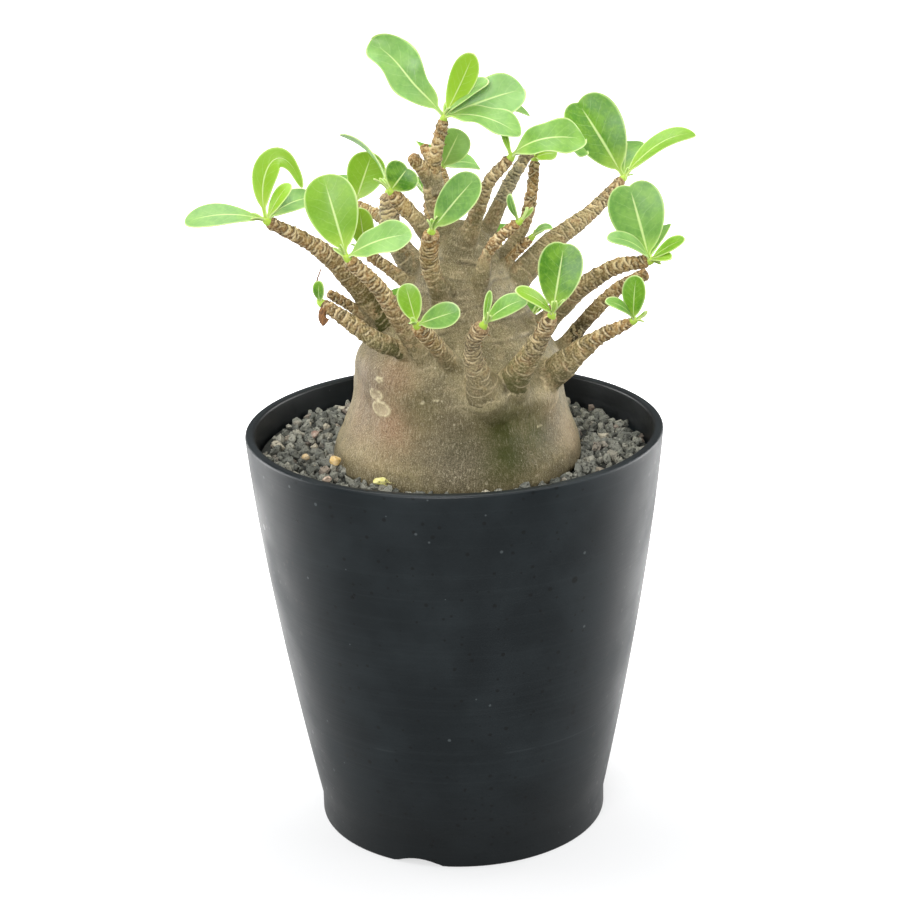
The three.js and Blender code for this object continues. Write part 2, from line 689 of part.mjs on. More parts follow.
addPiece('pot', potBody().subtract(join([drainHoles(), footNotches()])), FINISH.pot);
addPiece('soil', soilBody(), FINISH.soil);
LOOSE_STONES.forEach((stone, index) => {
  addPiece(`loose_stone_${index + 1}`, looseStone(stone, 0), { color: stone.tint, roughness: 0.9 });
});
addPiece('caudex', caudexBody(), FINISH.bark);
Object.keys(LEAVES).forEach((name) => {
  addPiece(`leaves_${name}`, leafCluster(name), FINISH.leaf);
});

export default plant;
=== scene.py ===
# A potted desert rose: a tapered nursery pot, lava gravel, and a plant with a swollen caudex,
# ringed branches and clusters of glossy leaves. Metres, +Z up; tables in millimetres use MM.

import json
import math
import random
from dataclasses import dataclass

import bmesh
import bpy
import numpy as np
from mathutils import Matrix, Vector, noise
from mathutils.kdtree import KDTree

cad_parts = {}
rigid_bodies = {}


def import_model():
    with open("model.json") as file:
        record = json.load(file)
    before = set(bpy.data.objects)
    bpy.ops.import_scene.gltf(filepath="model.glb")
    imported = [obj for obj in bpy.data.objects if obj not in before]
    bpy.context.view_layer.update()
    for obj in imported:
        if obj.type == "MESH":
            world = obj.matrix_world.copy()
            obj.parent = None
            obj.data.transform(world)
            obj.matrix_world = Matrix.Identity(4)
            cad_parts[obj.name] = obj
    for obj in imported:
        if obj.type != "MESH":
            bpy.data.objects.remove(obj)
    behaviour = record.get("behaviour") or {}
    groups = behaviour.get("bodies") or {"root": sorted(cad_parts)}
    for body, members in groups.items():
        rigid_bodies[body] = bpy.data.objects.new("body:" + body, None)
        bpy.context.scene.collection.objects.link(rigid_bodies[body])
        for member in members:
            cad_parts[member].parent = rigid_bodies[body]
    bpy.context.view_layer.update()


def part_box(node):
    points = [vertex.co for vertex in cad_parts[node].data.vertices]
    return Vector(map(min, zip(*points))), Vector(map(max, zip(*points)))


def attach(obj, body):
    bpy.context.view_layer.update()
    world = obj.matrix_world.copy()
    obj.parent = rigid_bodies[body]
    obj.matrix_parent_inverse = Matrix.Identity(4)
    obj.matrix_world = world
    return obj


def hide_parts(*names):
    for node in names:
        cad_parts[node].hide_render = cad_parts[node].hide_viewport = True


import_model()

MM = 0.001

# ---- Pot ----

RIM_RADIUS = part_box("pot")[1].x
POT_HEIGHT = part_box("pot")[1].z
FOOT_RADIUS = 53 * MM
FOOT_HEIGHT = 8 * MM
BELLY_RADIUS = 70.3 * MM
BELLY_HEIGHT = 92 * MM
POT_WALL = 3 * MM
RIM_THICKNESS = 3.5 * MM
RIM_DEPTH = 8 * MM
FOOT_RING = 4 * MM
FLOOR_UNDERSIDE = 4 * MM
FLOOR_TOP = 7 * MM
EDGE_ROUND = 1 * MM
INNER_ROUND = 2.5 * MM
ROUND_STEPS = 5
SCUFF_HEIGHT = 48 * MM
POT_SIDES = 160
WALL_STEPS = 34
POT_CREASE = 32  # edges of the pot sharper than this many degrees stay sharp
DRAIN_RADIUS = 5 * MM
DRAIN_CIRCLE = 30 * MM
DRAIN_COUNT = 6
DRAIN_SIDES = 24
NOTCH_WIDTH = 19 * MM
NOTCH_HEIGHT = 2.6 * MM
NOTCH_START = math.radians(11.5)
NOTCH_TURN = math.radians(120)

# ---- Gravel ----

GRAVEL_TOP = 141.6 * MM
GRAVEL_RISE = 2.2 * MM  # higher at the back left than at the front right
GAP = 0.3 * MM
TRUNK_FOOT = 44.6 * MM
BED_DEPTH = 2.9 * MM  # from the grains' tops down to the filled body under them
GRAIN_SIZES = (1.4 * MM, 2.9 * MM)  # smallest and largest half size
GRAIN_LAYERS = [(0.1 * MM, 2.5 * MM), (1.5 * MM, 3.3 * MM)]  # height over the bed, and spacing
GRAIN_RISE = (-0.5 * MM, 0.7 * MM)  # how far a grain may lie under and over its layer
GRAIN_STRETCH = (0.65, 1.25)
LEVEL_ENOUGH = 0.7  # least upward share of the normal where grains lie
GRAIN_KINDS = 12
GRAIN_CORNERS = 20
GRAIN_DENTS = 0.4
GRAIN_SEED = 17
STONE_CORNERS = 22
STONE_FLATNESS = 0.8
STONE_SEED = 100
BED_SIDES = 96
# The greys of the grains between the darkest and the palest: share of the grains, and colour.
GRAIN_GREYS = [(0.35, "808178"), (0.7, "9b9b8f"), (0.86, "aeab9c"), (0.93, "8d8075"), (0.96, "b9b19d")]
PIT = [(43.8, 134), (42, 131), (38, 127), (30, 122.5), (15, 119.5)]  # the hollow where the caudex stands

LOOSE_STONES = [
    {"at": (-42.3, -18.8, 143.9), "size": (2.4, 2.3, 2.5), "tint": "d8b46a"},
    {"at": (-25.8, -39.2, 143.3), "size": (2.9, 1.9, 1.7), "tint": "d2cd6e"},
    {"at": (-52.9, -12, 143.4), "size": (1.7, 1.5, 1.6), "tint": "b89c6c"},
    {"at": (-44.4, -35.9, 143.2), "size": (1.9, 1.5, 1.5), "tint": "a98f7c"},
    {"at": (-50.8, 12.4, 143.6), "size": (1.6, 2, 1.8), "tint": "8a7064"},
]

# ---- Caudex ----

SOIL_LINE = 141.5 * MM
CAUDEX_PROFILE = [
    (14, 121), (30, 126), (38, 132), (43, 137), (44.4, 140), (44.2, 143), (43.2, 147), (41.4, 151),
    (39.2, 157), (37.4, 163), (36.6, 169), (35, 176), (31.5, 182), (27, 188), (22, 195),
    (17.5, 203), (14, 211), (9.5, 219), (3, 225),
]
CAUDEX_TOP = 225 * MM
CAUDEX_LEAN = 3 * MM
BULGES = [  # height, direction in degrees, reach, spread up and down, and how narrow each one is
    (179, 195, 2.6, 8, 2),
    (169, -61, 3, 6, 24),
    (167, -74, 2, 6, 24),
    (166, -35, 2, 6, 24),
]
CAUDEX_CENTRE = (1 * MM, -1 * MM)
FOLD_RELIEF = 0.8 * MM
FOLD_START = (148, 165)  # the folds grow between these heights
TRUNK_ROWS = 110
TRUNK_SIDES = 120
LUMP_SIZE = 9 * MM
SKIN_GRAIN = 1.6 * MM
LUMP_RELIEF = 0.35 * MM
SKIN_GRAIN_RELIEF = 0.06 * MM
LIP_RELIEF = 0.2 * MM
EDGE_RELIEF = 0.3 * MM
FOOT_DUST = (147, 142.5)  # the skin is dusty below these heights
SKIN_VOXEL = 0.7 * MM
CREASE_ROUNDS = 13
CREASE_FLOOR = 0.004 * MM  # hollows shallower than this stay
OPEN_CREASES = [((16.5, -39, 176), 6)]  # where and how widely a crease between two branches stays deep
ROOT_DEPTH = 9 * MM
ROOT_FLARE = 0.3
FLARE_REACH = 8 * MM
STUB_REACH = 15 * MM  # how far up each branch the smooth skin of the trunk reaches
STUB_SIDES = 18
TIP_DOME = ((0.21, 0.86), (0.36, 0.55), (0.42, 0.2))  # lift and width of the rings that close a tip

# Ring-like creases round the neck: height, depth, and the angle that each one faces.
NECK_CREASES = [
    (188, 0.25, -60), (192, 0.4, -75), (195, 0.45, -100), (198, 0.5, -70), (201, 0.4, -100),
    (204, 0.5, -80), (207, 0.4, -60), (210, 0.45, -100), (213, 0.4, -80),
]

# Old leaf scars on the trunk's face: place and size.
TRUNK_SCARS = [
    ((-26.8, -24.1, 169.8), 2.4), ((-25.4, -27, 165.4), 3.2), ((-24.2, -24.3, 175.4), 1.5),
    ((-10, -34, 169.5), 1.2), ((-5.6, -36.3, 171), 0.9), ((2, -38, 166), 0.7), ((30, -28, 158), 0.8),
]

SCAR_OVAL = (0.62, 0.62, 1.25)

# Tints of the trunk's skin: where each one is, how far it spreads, and how strong it is.
SKIN_TINTS = {
    "moss": [
        ((18.5, -37, 159), 11, 1.0), ((18, -40, 151), 10, 1.0), ((28, -32, 157), 9, 0.85),
        ((11, -37, 167), 7, 0.6), ((3, -41, 157), 9, 0.3), ((-11, -35, 166), 9, 0.4),
        ((-26, 30, 160), 12, 0.8), ((30, 26, 158), 10, 0.7), ((-6, 38, 150), 10, 0.6),
    ],
    # Painted shade in the crease between the front stub and the front right branch.
    "groove": [
        ((16.5, -38, 175), 3, 0.9), ((16.5, -40, 179), 3, 0.9),
    ],
    "pale": [
        ((9, -43, 173), 8, 0.9), ((8, -47, 184), 9, 0.8), ((21, -37, 176), 8, 0.7),
        ((33, -20, 173), 10, 0.7), ((-8, -31, 188), 10, 0.5), ((-28, -31, 150), 10, 0.4),
        ((41, -18, 151), 6, 0.8),
    ],
    "dusty": [
        ((4, -43, 149), 16, 1.2), ((24, -37, 149), 11, 0.9), ((-29, -19, 171), 11, 0.55),
        ((36, -24, 153), 8, 0.4),
    ],
    "greyish": [
        ((0, -39, 163), 11, 0.9), ((2, -42, 152), 12, 0.9), ((-28, -20, 174), 11, 0.9),
        ((35, -25, 157), 9, 0.9), ((-4, -31, 183), 14, 0.4), ((3, -18, 200), 15, 0.5),
        ((6, -12, 212), 12, 0.4), ((-36, 20, 152), 14, 0.8), ((34, 18, 168), 14, 0.8),
    ],
    "flush": [
        ((-30, -20, 165), 15, 0.8), ((-22, -31, 160), 11, 0.95), ((-19, -27, 176), 9, 0.8),
        ((-28, -31, 150), 11, 0.3), ((-34, 10, 160), 12, 0.5), ((10, 36, 162), 12, 0.8),
        ((34, -20, 164), 8, 0.35), ((40, -14, 150), 10, 0.5),
    ],
}

# ---- Branches ----

BRANCH_STEP = 0.24 * MM
BRANCH_SIDES = 28
SCAR_PITCH = (1.35 * MM, 0.6 * MM)  # between leaf scars, at the root and at the tip
SCAR_SPREAD = 1.15
SCAR_BOW = 0.9 * MM
SCAR_EDGE = 0.29 * MM
SCAR_TURN = math.radians(137.5)
SCAR_STRAY = 0.25  # how far a scar strays round the branch, in radians
SCAR_LENGTHS = (0.4, 1.15)
SCAR_BOWS = (0.2, 1.5)
SCAR_TILT = 0.5
SCAR_STRENGTHS = (0.4, 1)
SCAR_RAGGED = (0.05, 0.4)
SCAR_GAPS = (0.6, 1.5)
SCAR_RELIEF = (0.12 * MM, 0.4 * MM)
SKIRT = 5 * MM  # how far below a branch the trunk shows its first scars
BRANCH_SWELL = 0.06
SWELL_PERIODS = (3.1 * MM, 5.3 * MM)
BACK_LINE = 12 * MM  # branches whose tips lie behind this are the back ones
RINGS_START = 1.5 * MM  # how far up a branch its own ringed piece begins
BARK_RIPPLE = 0.12 * MM
SIDEWAYS = (0.3, -1, 0.2)  # a way that no branch runs in, from which its frame starts
STIPULE_WIDTH = 0.17 * MM
STIPULE_LENGTHS = (0.5 * MM, 1.5 * MM)

# Each branch: its radii from root to tip, and the points that its centreline runs through.
BRANCHES = {
    "far_left": ((4.5, 2.2), [(-23, -6, 189), (-32, -13, 205), (-44, -21, 221), (-60, -30, 233)]),
    "left_front": ((3.6, 2.5), [(-10, -28, 184), (-17, -34, 198), (-24, -40, 212), (-33, -45, 223)]),
    "left_middle": ((2.6, 2), [(-11, -3, 200), (-19, 1, 206), (-28, 5, 212)]),
    "left_back": ((2.8, 2), [(-10, 8, 207), (-17, 16, 214), (-23, 25, 220), (-33, 35, 223)]),
    "neck_left": ((3.2, 2.7), [(-7, -2, 221), (-10, -3, 225), (-16, -4, 232), (-19, -5, 236)]),
    "neck_grey": ((4, 3.2), [(-12, 6, 202), (-19, 10, 216), (-21, 12, 225), (-21, 14, 231)]),
    "neck_front": ((3.5, 3), [(-3, -19, 203), (-5, -22, 209), (-7, -27, 219), (-6, -32, 228)]),
    "leader": ((4.4, 1.9), [(2, 5, 217), (-5, 3, 232), (-5, 2, 243), (-1, 0, 260)]),
    "leader_stub": ((2.6, 2.1), [(-6, 2, 239), (-9, 0, 244), (-12, -2, 248)]),
    "leader_knob": ((2.2, 1.7), [(-5, 3, 242), (-6, 5, 246), (-8, 7, 250)]),
    "upper_centre": ((3.3, 2), [(5, -8, 217), (10, -9, 230), (14, -9, 240), (21, -10, 248)]),
    "upper_right": ((3, 2.1), [(12, 4, 217), (15, 5, 223), (22, 6, 237), (30, 8, 249)]),
    "upper_back": ((2.8, 1.9), [(18, 10, 207), (27, 15, 220), (30, 19, 231), (31, 22, 240)]),
    "inner_red": ((2.4, 1.8), [(11, -17, 209), (12, -18, 215), (16, -19, 222), (23, -20, 228)]),
    "inner_thin": ((2, 1.6), [(18, 0, 206), (22, -1, 212), (28, -2, 218)]),
    "high_right": ((5.2, 2), [(20, 4, 198), (35, 12, 212), (52, 20, 223), (62, 25, 232)]),
    "far_right": ((4, 2.5), [(31, -2, 185), (38, -4, 193), (47, -6, 202), (58, -8, 209), (68, -10, 211)]),
    "front_right": ((5.2, 3.7, 2.5), [(20, -32, 174), (22, -35, 179), (29, -44, 193), (33, -50, 203)]),
    "right_bare": ((3, 2.4), [(35, 10, 172), (41, 11, 176), (49, 12, 185), (60, 14, 195), (70, 15, 200)]),
    "low_right": (
        (6.2, 4.9, 2.8, 1.9),
        [(29, -15, 169), (34, -18, 173), (45, -23, 184), (52, -27, 190), (61, -30, 195)],
    ),
    "front_stub": ((6.8, 3.8, 2.6, 2.8), [(11, -36, 173), (7, -47, 190), (7.6, -53, 198), (10, -56, 202)]),
    "front_left": ((3.2, 2.7), [(0, -32, 182), (-5, -40, 191), (-11, -50, 201)]),
    "low_left": ((2.8, 3.5, 2.9, 2.1), [(-14, -24, 184), (-26, -33, 192), (-35, -33, 199), (-43, -30, 204)]),
    "low_left_bare": ((2.2, 1.8), [(-26, -8, 189), (-34, -10, 197), (-42, -12, 203)]),
    "crown_back": ((3.2, 2), [(1, 9, 217), (-1, 20, 228), (-2, 30, 236)]),
    "back_left": ((4.4, 2.5), [(-18, 27, 172), (-22, 40, 174), (-24, 52, 177)]),
    "back_centre": ((4.6, 2.4), [(4, 32, 180), (6, 44, 186), (7, 55, 191)]),
    "back_right": ((4.2, 2.3), [(22, 26, 168), (27, 38, 170), (30, 49, 174)]),
    "back_upper": ((3.4, 2.2), [(-2, 17, 204), (-5, 29, 214), (-7, 40, 222)]),
    "back_inner": ((3.6, 2.2), [(11, 22, 189), (16, 34, 197), (18, 45, 204)]),
    "back_bare": ((3.2, 2.3), [(-24, 14, 184), (-30, 23, 190), (-33, 31, 196)]),
}

# How red-brown or how green-grey the bark of some branches is; the rest are tan.
REDDISH = {
    "inner_red": 0.6, "right_bare": 0.3, "low_left_bare": 0.4, "upper_back": 0.4, "far_left": 0.3,
    "left_front": 0.25, "inner_thin": 0.5,
}
GREYISH = {
    "front_stub": 0.5, "front_right": 0.3, "neck_grey": 0.9, "upper_right": 0.9, "back_bare": 0.5,
    "high_right": 0.3, "upper_centre": 0.3,
}

# How green the lower half of a branch is.
GREENISH = {
    "front_right": 0.8, "right_bare": 1.0, "low_right": 0.5, "far_left": 1.0, "low_left": 0.9,
    "low_left_bare": 1.0, "inner_red": 0.6, "front_stub": 0.2, "upper_centre": 0.6,
}
USUAL_GREEN = 0.35

# How dark the lower half of a branch is, where its neighbours keep it in the shade.
SHADED = {"right_bare": 0.95, "low_left_bare": 0.6}

# What the bark's material reads at each point: its scars, and the tints of bark and skin.
BARK_MASKS = ("rim", "groove", "shade")
SKIN_MASKS = ("ringed", "reddish", "greyish", "moss", "flush", "dusty", "pale", "scar")

# ---- Leaves ----

LEAF_THICKNESS = 0.62 * MM
PETIOLE_SHARE = 0.11
PETIOLE_WIDTH = 1.4 * MM
BLADE_BASE = 0.62  # smaller for a blade that is rounder at its base
BLADE_TIP = 2.1  # larger for a blade that is blunter at its tip
BLADE_ROWS = 34
BLADE_COLUMNS = 14
OUTLINE_STEPS = 160
MARGIN = (0.5 * MM, 0.15 * MM)  # the pale margin fades in and is full at these distances
WAVE_PERIOD = 0.43
SHOOT_HEIGHT = 3.2 * MM
SHOOT_RADIUS = 1.5 * MM
SHOOT_SIDES = 14
SHOOT_TONE = 0.6
SHOOT_RINGS = [(-0.1, 0.8), (0.1, 1), (0.3, 1.02), (0.5, 0.92), (0.7, 0.75), (0.9, 0.5), (1, 0.2)]
BUDS = 3  # tiny unopened leaves on each fresh shoot
BUD_GRID = (12, 4)
LEAF_CREASE = 60  # edges of a leaf sharper than this many degrees stay sharp

DRY_TIPS = ("low_left",)  # branches without fresh buds
ROD_SIDES = 10
DRY_BITS = [  # the route and the end radii of each
    ([(-42.6, -31, 203.6), (-43.8, -32.3, 201.8), (-43.6, -33, 199.8), (-42.4, -33, 198.6)], (1.1, 1.5)),
    ([(-44.2, -28, 205), (-45.6, -28, 209), (-45.2, -28, 212), (-43.8, -28, 216)], (0.45, 0.2)),
]


@dataclass
class Leaf:
    """One leaf, in millimetres from its branch's tip; tone runs from -1, deep green, to 1, lime."""
    to: tuple
    wide: float
    face: tuple
    bow: float = 1
    tone: float = 0
    bloom: float = 0  # how much painted pale sheen it has, standing in for the glossy reflection of the light above
    over: tuple = None  # what its midrib is drawn towards on the way
    wave: float = 0
    notch: float = 0
    fold: float = 0.18
    ruffle: float = 0  # how far its two edges swing the same way
    narrow: float = 0  # how much narrower its outer half is


LEAVES = {
    "far_left": [
        Leaf((-28, -6, 2), 11.5, (0, -1, 2), 3, bloom=0.6, fold=0.1),
        Leaf((11.5, -2, 12), 11, (-0.45, -1.5, 0.4), over=((-5, 0, 19), (6, 0, 32)), tone=0.7, narrow=0.62),
        Leaf((16, 12, 5), 12, (0, -1, 2), 3, tone=-0.3, bloom=0.5),
        Leaf((7, 5, 12), 5, (0, -1, 1), 2, tone=0.8),
    ],
    "left_front": [
        Leaf((-8, 5, 28), 17.5, (0, -3, 1), 1, tone=0.45),
        Leaf((21, -7, 10), 12, (-1, -2, 2), 3, tone=0.25, bloom=0.6, wave=0.5),
    ],
    "left_middle": [Leaf((-3, -3, 18), 9, (-0.4, -2, 1), 1, tone=0.9)],
    "left_back": [
        Leaf((6, 3, 19), 14, (0, -1, 0), -1, tone=0.6),
        Leaf((-9, 15, 8), 11, (1, -1, 3), 2, bloom=0.4),
    ],
    "neck_grey": [Leaf((-17, 12, 20), 8, (4, 1, 3), 4, tone=-0.1, bloom=0.5)],
    "neck_left": [Leaf((6, -1, 10), 12.5, (0, -1, 0.3), notch=1, tone=-0.4)],
    "neck_front": [Leaf((16, -6, 21), 12.5, (-1, -3, 1), 1, tone=-0.4, bloom=0.4)],
    "leader": [
        Leaf((-24, 4, 28), 15, (1, -3, 1), 2, wave=1.4, bloom=0.55, ruffle=0.2),
        Leaf((11, -6, 24), 10, (-1, -2, 0), -1, tone=1),
        Leaf((28, 2, 10), 15, (0, -2, 1), 3, wave=0.8, bloom=0.9),
        Leaf((26, -14, -3), 12, (0, -1, 2), 4, wave=0.6, tone=0.2, bloom=0.5),
        Leaf((16, -3, 14), 9, (-1, -1, 2), 2, tone=0.3, bloom=0.7),
        Leaf((30, 12, -1), 9, (0, -1, 2), 6, tone=0.2, bloom=0.4),
    ],
    "crown_back": [
        Leaf((7, 0, 15), 12, (0, -1, 0), 1, tone=0.4, bloom=0.5),
        Leaf((13, 8, 0), 11, (0, -1, 2), 2, tone=0.2, bloom=0.6),
        Leaf((-6, 17, 6), 12, (0, 1, 2), 3),
    ],
    "upper_centre": [
        Leaf((-2, 0, 11), 2.4, (0, -1, 0), 0, tone=0.6),
        Leaf((26, -4, 7), 13.5, (-1, -2, 2), 6, tone=0.25, bloom=0.3, wave=0.9),
    ],
    "upper_right": [Leaf((19, 6, -4), 12, (0, -1, 2), 2, wave=0.8, bloom=0.3)],
    "upper_back": [
        Leaf((8, -2, 3), 9, (0, -1, 2), 1, tone=0.9),
        Leaf((6, 17, 7), 11, (0, -1, 2), 3, tone=0.1, bloom=0.4),
    ],
    "inner_red": [Leaf((-2, -2, 11), 3.6, (-1, -1, 0), 1, tone=-0.3, bloom=0.3)],
    "inner_thin": [Leaf((8, -1, 4), 3.6, (0, -1, 2), 2, bloom=0.5)],
    "high_right": [
        Leaf((-16, 7, 29), 21, (0.3, -1, 0.3), 1, notch=2, tone=-0.05, fold=0.34),
        Leaf((27, 5, 15), 10.5, (0, -1, 3), 5, tone=0.5, bloom=0.1),
        Leaf((4, 20, 10), 13, (0, -1, 2), 3, bloom=0.3),
    ],
    "far_right": [
        Leaf((-6, 4, 28), 19.5, (0, -1, 0.3), 1, notch=2, tone=-0.1, bloom=0.35),
        Leaf((-14, -6, 10), 8, (1, -1, 2), 3, tone=-0.1, bloom=0.6),
        Leaf((13, -6, 9), 7, (-1, -1, 2), 1, tone=0.4),
        Leaf((8, 15, 9), 10, (-1, -1, 1), 2, bloom=0.3),
        Leaf((8, -9, 3), 5, (-1, -1, 3), 1, tone=0.6),
    ],
    "front_right": [
        Leaf((5, 4, 25), 15, (0, -1, 0.2), 1, notch=0.8, tone=-0.35),
        Leaf((-12, -12, 13), 6, (1, -1, 1), 2, tone=0.6),
    ],
    "low_right": [
        Leaf((2, -2, 17), 8.5, (-1, -2, 0), 1, tone=0.1),
        Leaf((-9, -6, 9), 6, (1, -1, 2), 2, tone=-0.2, bloom=0.3),
    ],
    "front_stub": [
        Leaf((15, 0, 9), 9, (0, -1, 2), 2, tone=0.2, bloom=0.25),
        Leaf((3, 2, 12), 2.6, (0, -1, 0), 0, tone=0.3),
    ],
    "front_left": [
        Leaf((-4, 0, 15), 8, (0, -1, 0.5), 1, tone=0.5),
        Leaf((14, -6, 7), 8.5, (0, -2, 1), 1, tone=-0.1, bloom=0.35),
    ],
    "low_left": [Leaf((-1, -2, 9), 4.5, (-1, -2, 0), 1, tone=-0.2)],
    "back_left": [
        Leaf((-7, 16, 2), 12, (0, 1, 2), 3, tone=0.2),
        Leaf((9, 15, 6), 11, (0, 1, 2), 3, tone=-0.2),
        Leaf((-3, 11, 8), 8, (0, 1, 0), -1, tone=0.6),
    ],
    "back_centre": [
        Leaf((1, 17, 6), 13, (0, 1, 2), 3, tone=0),
        Leaf((11, 9, 8), 10, (-1, 1, 2), 2, tone=0.4),
        Leaf((-10, 9, 7), 10, (1, 1, 2), 2, tone=-0.3),
    ],
    "back_right": [
        Leaf((5, 18, 1), 12, (0, 1, 2), 3, tone=0.1),
        Leaf((-9, 13, 6), 10, (1, 1, 2), 2, tone=-0.1),
        Leaf((11, 9, 5), 9, (-1, 1, 2), 2, tone=0.6),
    ],
    "back_inner": [
        Leaf((5, 15, 4), 11, (0, 1, 2), 3, tone=0.2),
        Leaf((-9, 12, 5), 9, (1, 1, 2), 2, tone=-0.2),
    ],
    "back_upper": [
        Leaf((2, 18, 5), 12, (0, 1, 2), 3, tone=0),
        Leaf((-9, 10, 7), 9, (1, 1, 2), 2, tone=0.5),
    ],
}


# ---- Small helpers ----

def colour(code):
    """A linear colour from its usual six-figure code."""
    parts = [int(code[i:i + 2], 16) / 255 for i in (0, 2, 4)]
    linear = [c / 12.92 if c <= 0.04045 else ((c + 0.055) / 1.055) ** 2.4 for c in parts]
    return (*linear, 1.0)


def smoothstep(low, high, value):
    share = np.clip((value - low) / (high - low), 0, 1)
    return share * share * (3 - 2 * share)


def bell(value, centre, spread):
    return np.exp(-(((value - centre) / spread) ** 2))


def unit(vectors):
    return vectors / np.linalg.norm(vectors, axis=-1, keepdims=True)


def ripple(points, scale, octaves=3):
    """Soft noise from -1 to 1 at each point, its lumps about `scale` metres apart."""
    return np.array([noise.fractal(Vector(p / scale), 1.0, 2.0, octaves) for p in points])


def evenly_round(sides):
    """Angles evenly spaced round a full turn."""
    return np.linspace(0, math.tau, sides, endpoint=False)


def spokes(angles, across, along):
    return np.cos(angles) * across + np.sin(angles) * along


def run_along(line):
    """How far along a line each of its points is."""
    return np.concatenate([[0], np.cumsum(np.linalg.norm(np.diff(line, axis=0), axis=1))])


def random_way(draw):
    return Vector((draw.gauss(0, 1), draw.gauss(0, 1), draw.gauss(0, 1))).normalized()


def link(obj):
    bpy.context.scene.collection.objects.link(obj)
    return obj


def mesh_object(name, points, faces, material=None):
    mesh = bpy.data.meshes.new(name)
    mesh.from_pydata([tuple(p) for p in points], [], [tuple(f) for f in faces])
    mesh.update()
    if material:
        mesh.materials.append(material)
    return link(bpy.data.objects.new(name, mesh))


def joined(parts):
    """Several (points, faces) bodies as one."""
    points, faces, start = [], [], 0
    for part_points, part_faces in parts:
        points.append(part_points)
        faces.extend([tuple(i + start for i in face) for face in part_faces])
        start += len(part_points)
    return np.vstack(points), faces


def loft(rings):
    """A closed body through rings of points; each ring runs anticlockwise seen from the far end."""
    rows, sides = rings.shape[:2]
    faces = []
    for row in range(rows - 1):
        for side in range(sides):
            after = (side + 1) % sides
            a, b = row * sides + side, row * sides + after
            faces.append((a, b, b + sides, a + sides))
    start = rows * sides
    last = start - sides
    for side in range(sides):
        after = (side + 1) % sides
        faces.append((start, after, side))
        faces.append((start + 1, last + side, last + after))
    ends = np.array([rings[0].mean(0), rings[-1].mean(0)])
    return np.vstack([rings.reshape(-1, 3), ends]), faces


def store(mesh, name, values):
    attribute = mesh.attributes.new(name, "FLOAT", "POINT")
    attribute.data.foreach_set("value", np.asarray(values, np.float32))


def converted(obj, name):
    """The object as its modifiers leave it, as a plain mesh object in its place."""
    depsgraph = bpy.context.evaluated_depsgraph_get()
    mesh = bpy.data.meshes.new_from_object(obj.evaluated_get(depsgraph))
    bpy.data.objects.remove(obj)
    mesh.name = name
    return link(bpy.data.objects.new(name, mesh))


def outward(mesh):
    """Faces of a closed body turned to point out."""
    body = bmesh.new()
    body.from_mesh(mesh)
    bmesh.ops.recalc_face_normals(body, faces=body.faces)
    body.to_mesh(mesh)
    body.free()


def smooth(mesh, sharp_degrees=None):
    mesh.shade_smooth()
    if sharp_degrees:
        mesh.set_sharp_from_angle(angle=math.radians(sharp_degrees))


def place_piece(obj, slot, *nodes):
    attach(obj, "root")
    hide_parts(*nodes)


# ---- Node helpers, for shader trees and geometry trees alike ----

class Wire:
    """An output of a node. Arithmetic with it adds the nodes that work it out, and a key in
    square brackets gives another output of the same node."""

    def __init__(self, tree, output):
        self.tree = tree
        self.output = output

    def __getitem__(self, key):
        return Wire(self.tree, self.output.node.outputs[key])

    def __add__(self, other):
        return calc("ADD", self, other)

    def __sub__(self, other):
        return calc("SUBTRACT", self, other)

    def __rsub__(self, other):
        return calc("SUBTRACT", other, self)

    def __mul__(self, other):
        return calc("MULTIPLY", self, other)

    def __truediv__(self, other):
        return calc("DIVIDE", self, other)


def add(tree, kind, inputs=None, out=0, **settings):
    """A new node's output; its inputs hold plain values or the outputs of other nodes."""
    node = tree.nodes.new(kind)
    for name, value in settings.items():
        setattr(node, name, value)
    for key, value in (inputs or {}).items():
        if isinstance(value, Wire):
            tree.links.new(value.output, node.inputs[key])
        else:
            node.inputs[key].default_value = value
    return Wire(tree, node.outputs[out]) if node.outputs else None


def feed(shader, **inputs):
    """Leads wires into a shader; an underscore in a name stands for a space."""
    for name, wire in inputs.items():
        wire.tree.links.new(wire.output, shader.inputs[name.replace("_", " ")])


def calc(operation, *values):
    tree = next(value.tree for value in values if isinstance(value, Wire))
    return add(tree, "ShaderNodeMath", dict(enumerate(values)), operation=operation)


def between(value, low, high, to_low=0.0, to_high=1.0):
    """The value's share of the way from low to high, eased and clamped."""
    inputs = {"Value": value, "From Min": low, "From Max": high, "To Min": to_low, "To Max": to_high}
    return add(value.tree, "ShaderNodeMapRange", inputs, "Result", interpolation_type="SMOOTHSTEP")


def blend(share, first, second):
    """A colour drawn towards another; each is a wire or a colour's code."""
    first, second = (colour(end) if isinstance(end, str) else end for end in (first, second))
    return add(share.tree, "ShaderNodeMix", {0: share, 6: first, 7: second}, 2, data_type="RGBA")


def layered(base, *layers):
    """A colour with others over it, each given as its share and its code."""
    for share, code in layers:
        base = blend(share, base, code)
    return base


def attribute(tree, name):
    return add(tree, "ShaderNodeAttribute", out="Fac", attribute_name=name)


def own_place(tree):
    return add(tree, "ShaderNodeTexCoord", out="Object")


def combined(tree, **parts):
    return add(tree, "ShaderNodeCombineXYZ", parts)


def axes(vector):
    split = add(vector.tree, "ShaderNodeSeparateXYZ", {0: vector})
    return split[0], split[1], split[2]


def length(vector):
    return add(vector.tree, "ShaderNodeVectorMath", {0: vector}, "Value", operation="LENGTH")


def off_axis(place):
    """How far a place is from the Z axis."""
    flat = add(place.tree, "ShaderNodeVectorMath", {0: place, 1: (1, 1, 0)}, operation="MULTIPLY")
    return length(flat)


def stretched(place, scale):
    return add(place.tree, "ShaderNodeMapping", {"Vector": place, "Scale": scale})


def cloud(place, scale, detail=3.0, roughness=0.5):
    inputs = {"Vector": place, "Scale": scale, "Detail": detail, "Roughness": roughness}
    return add(place.tree, "ShaderNodeTexNoise", inputs, "Fac")


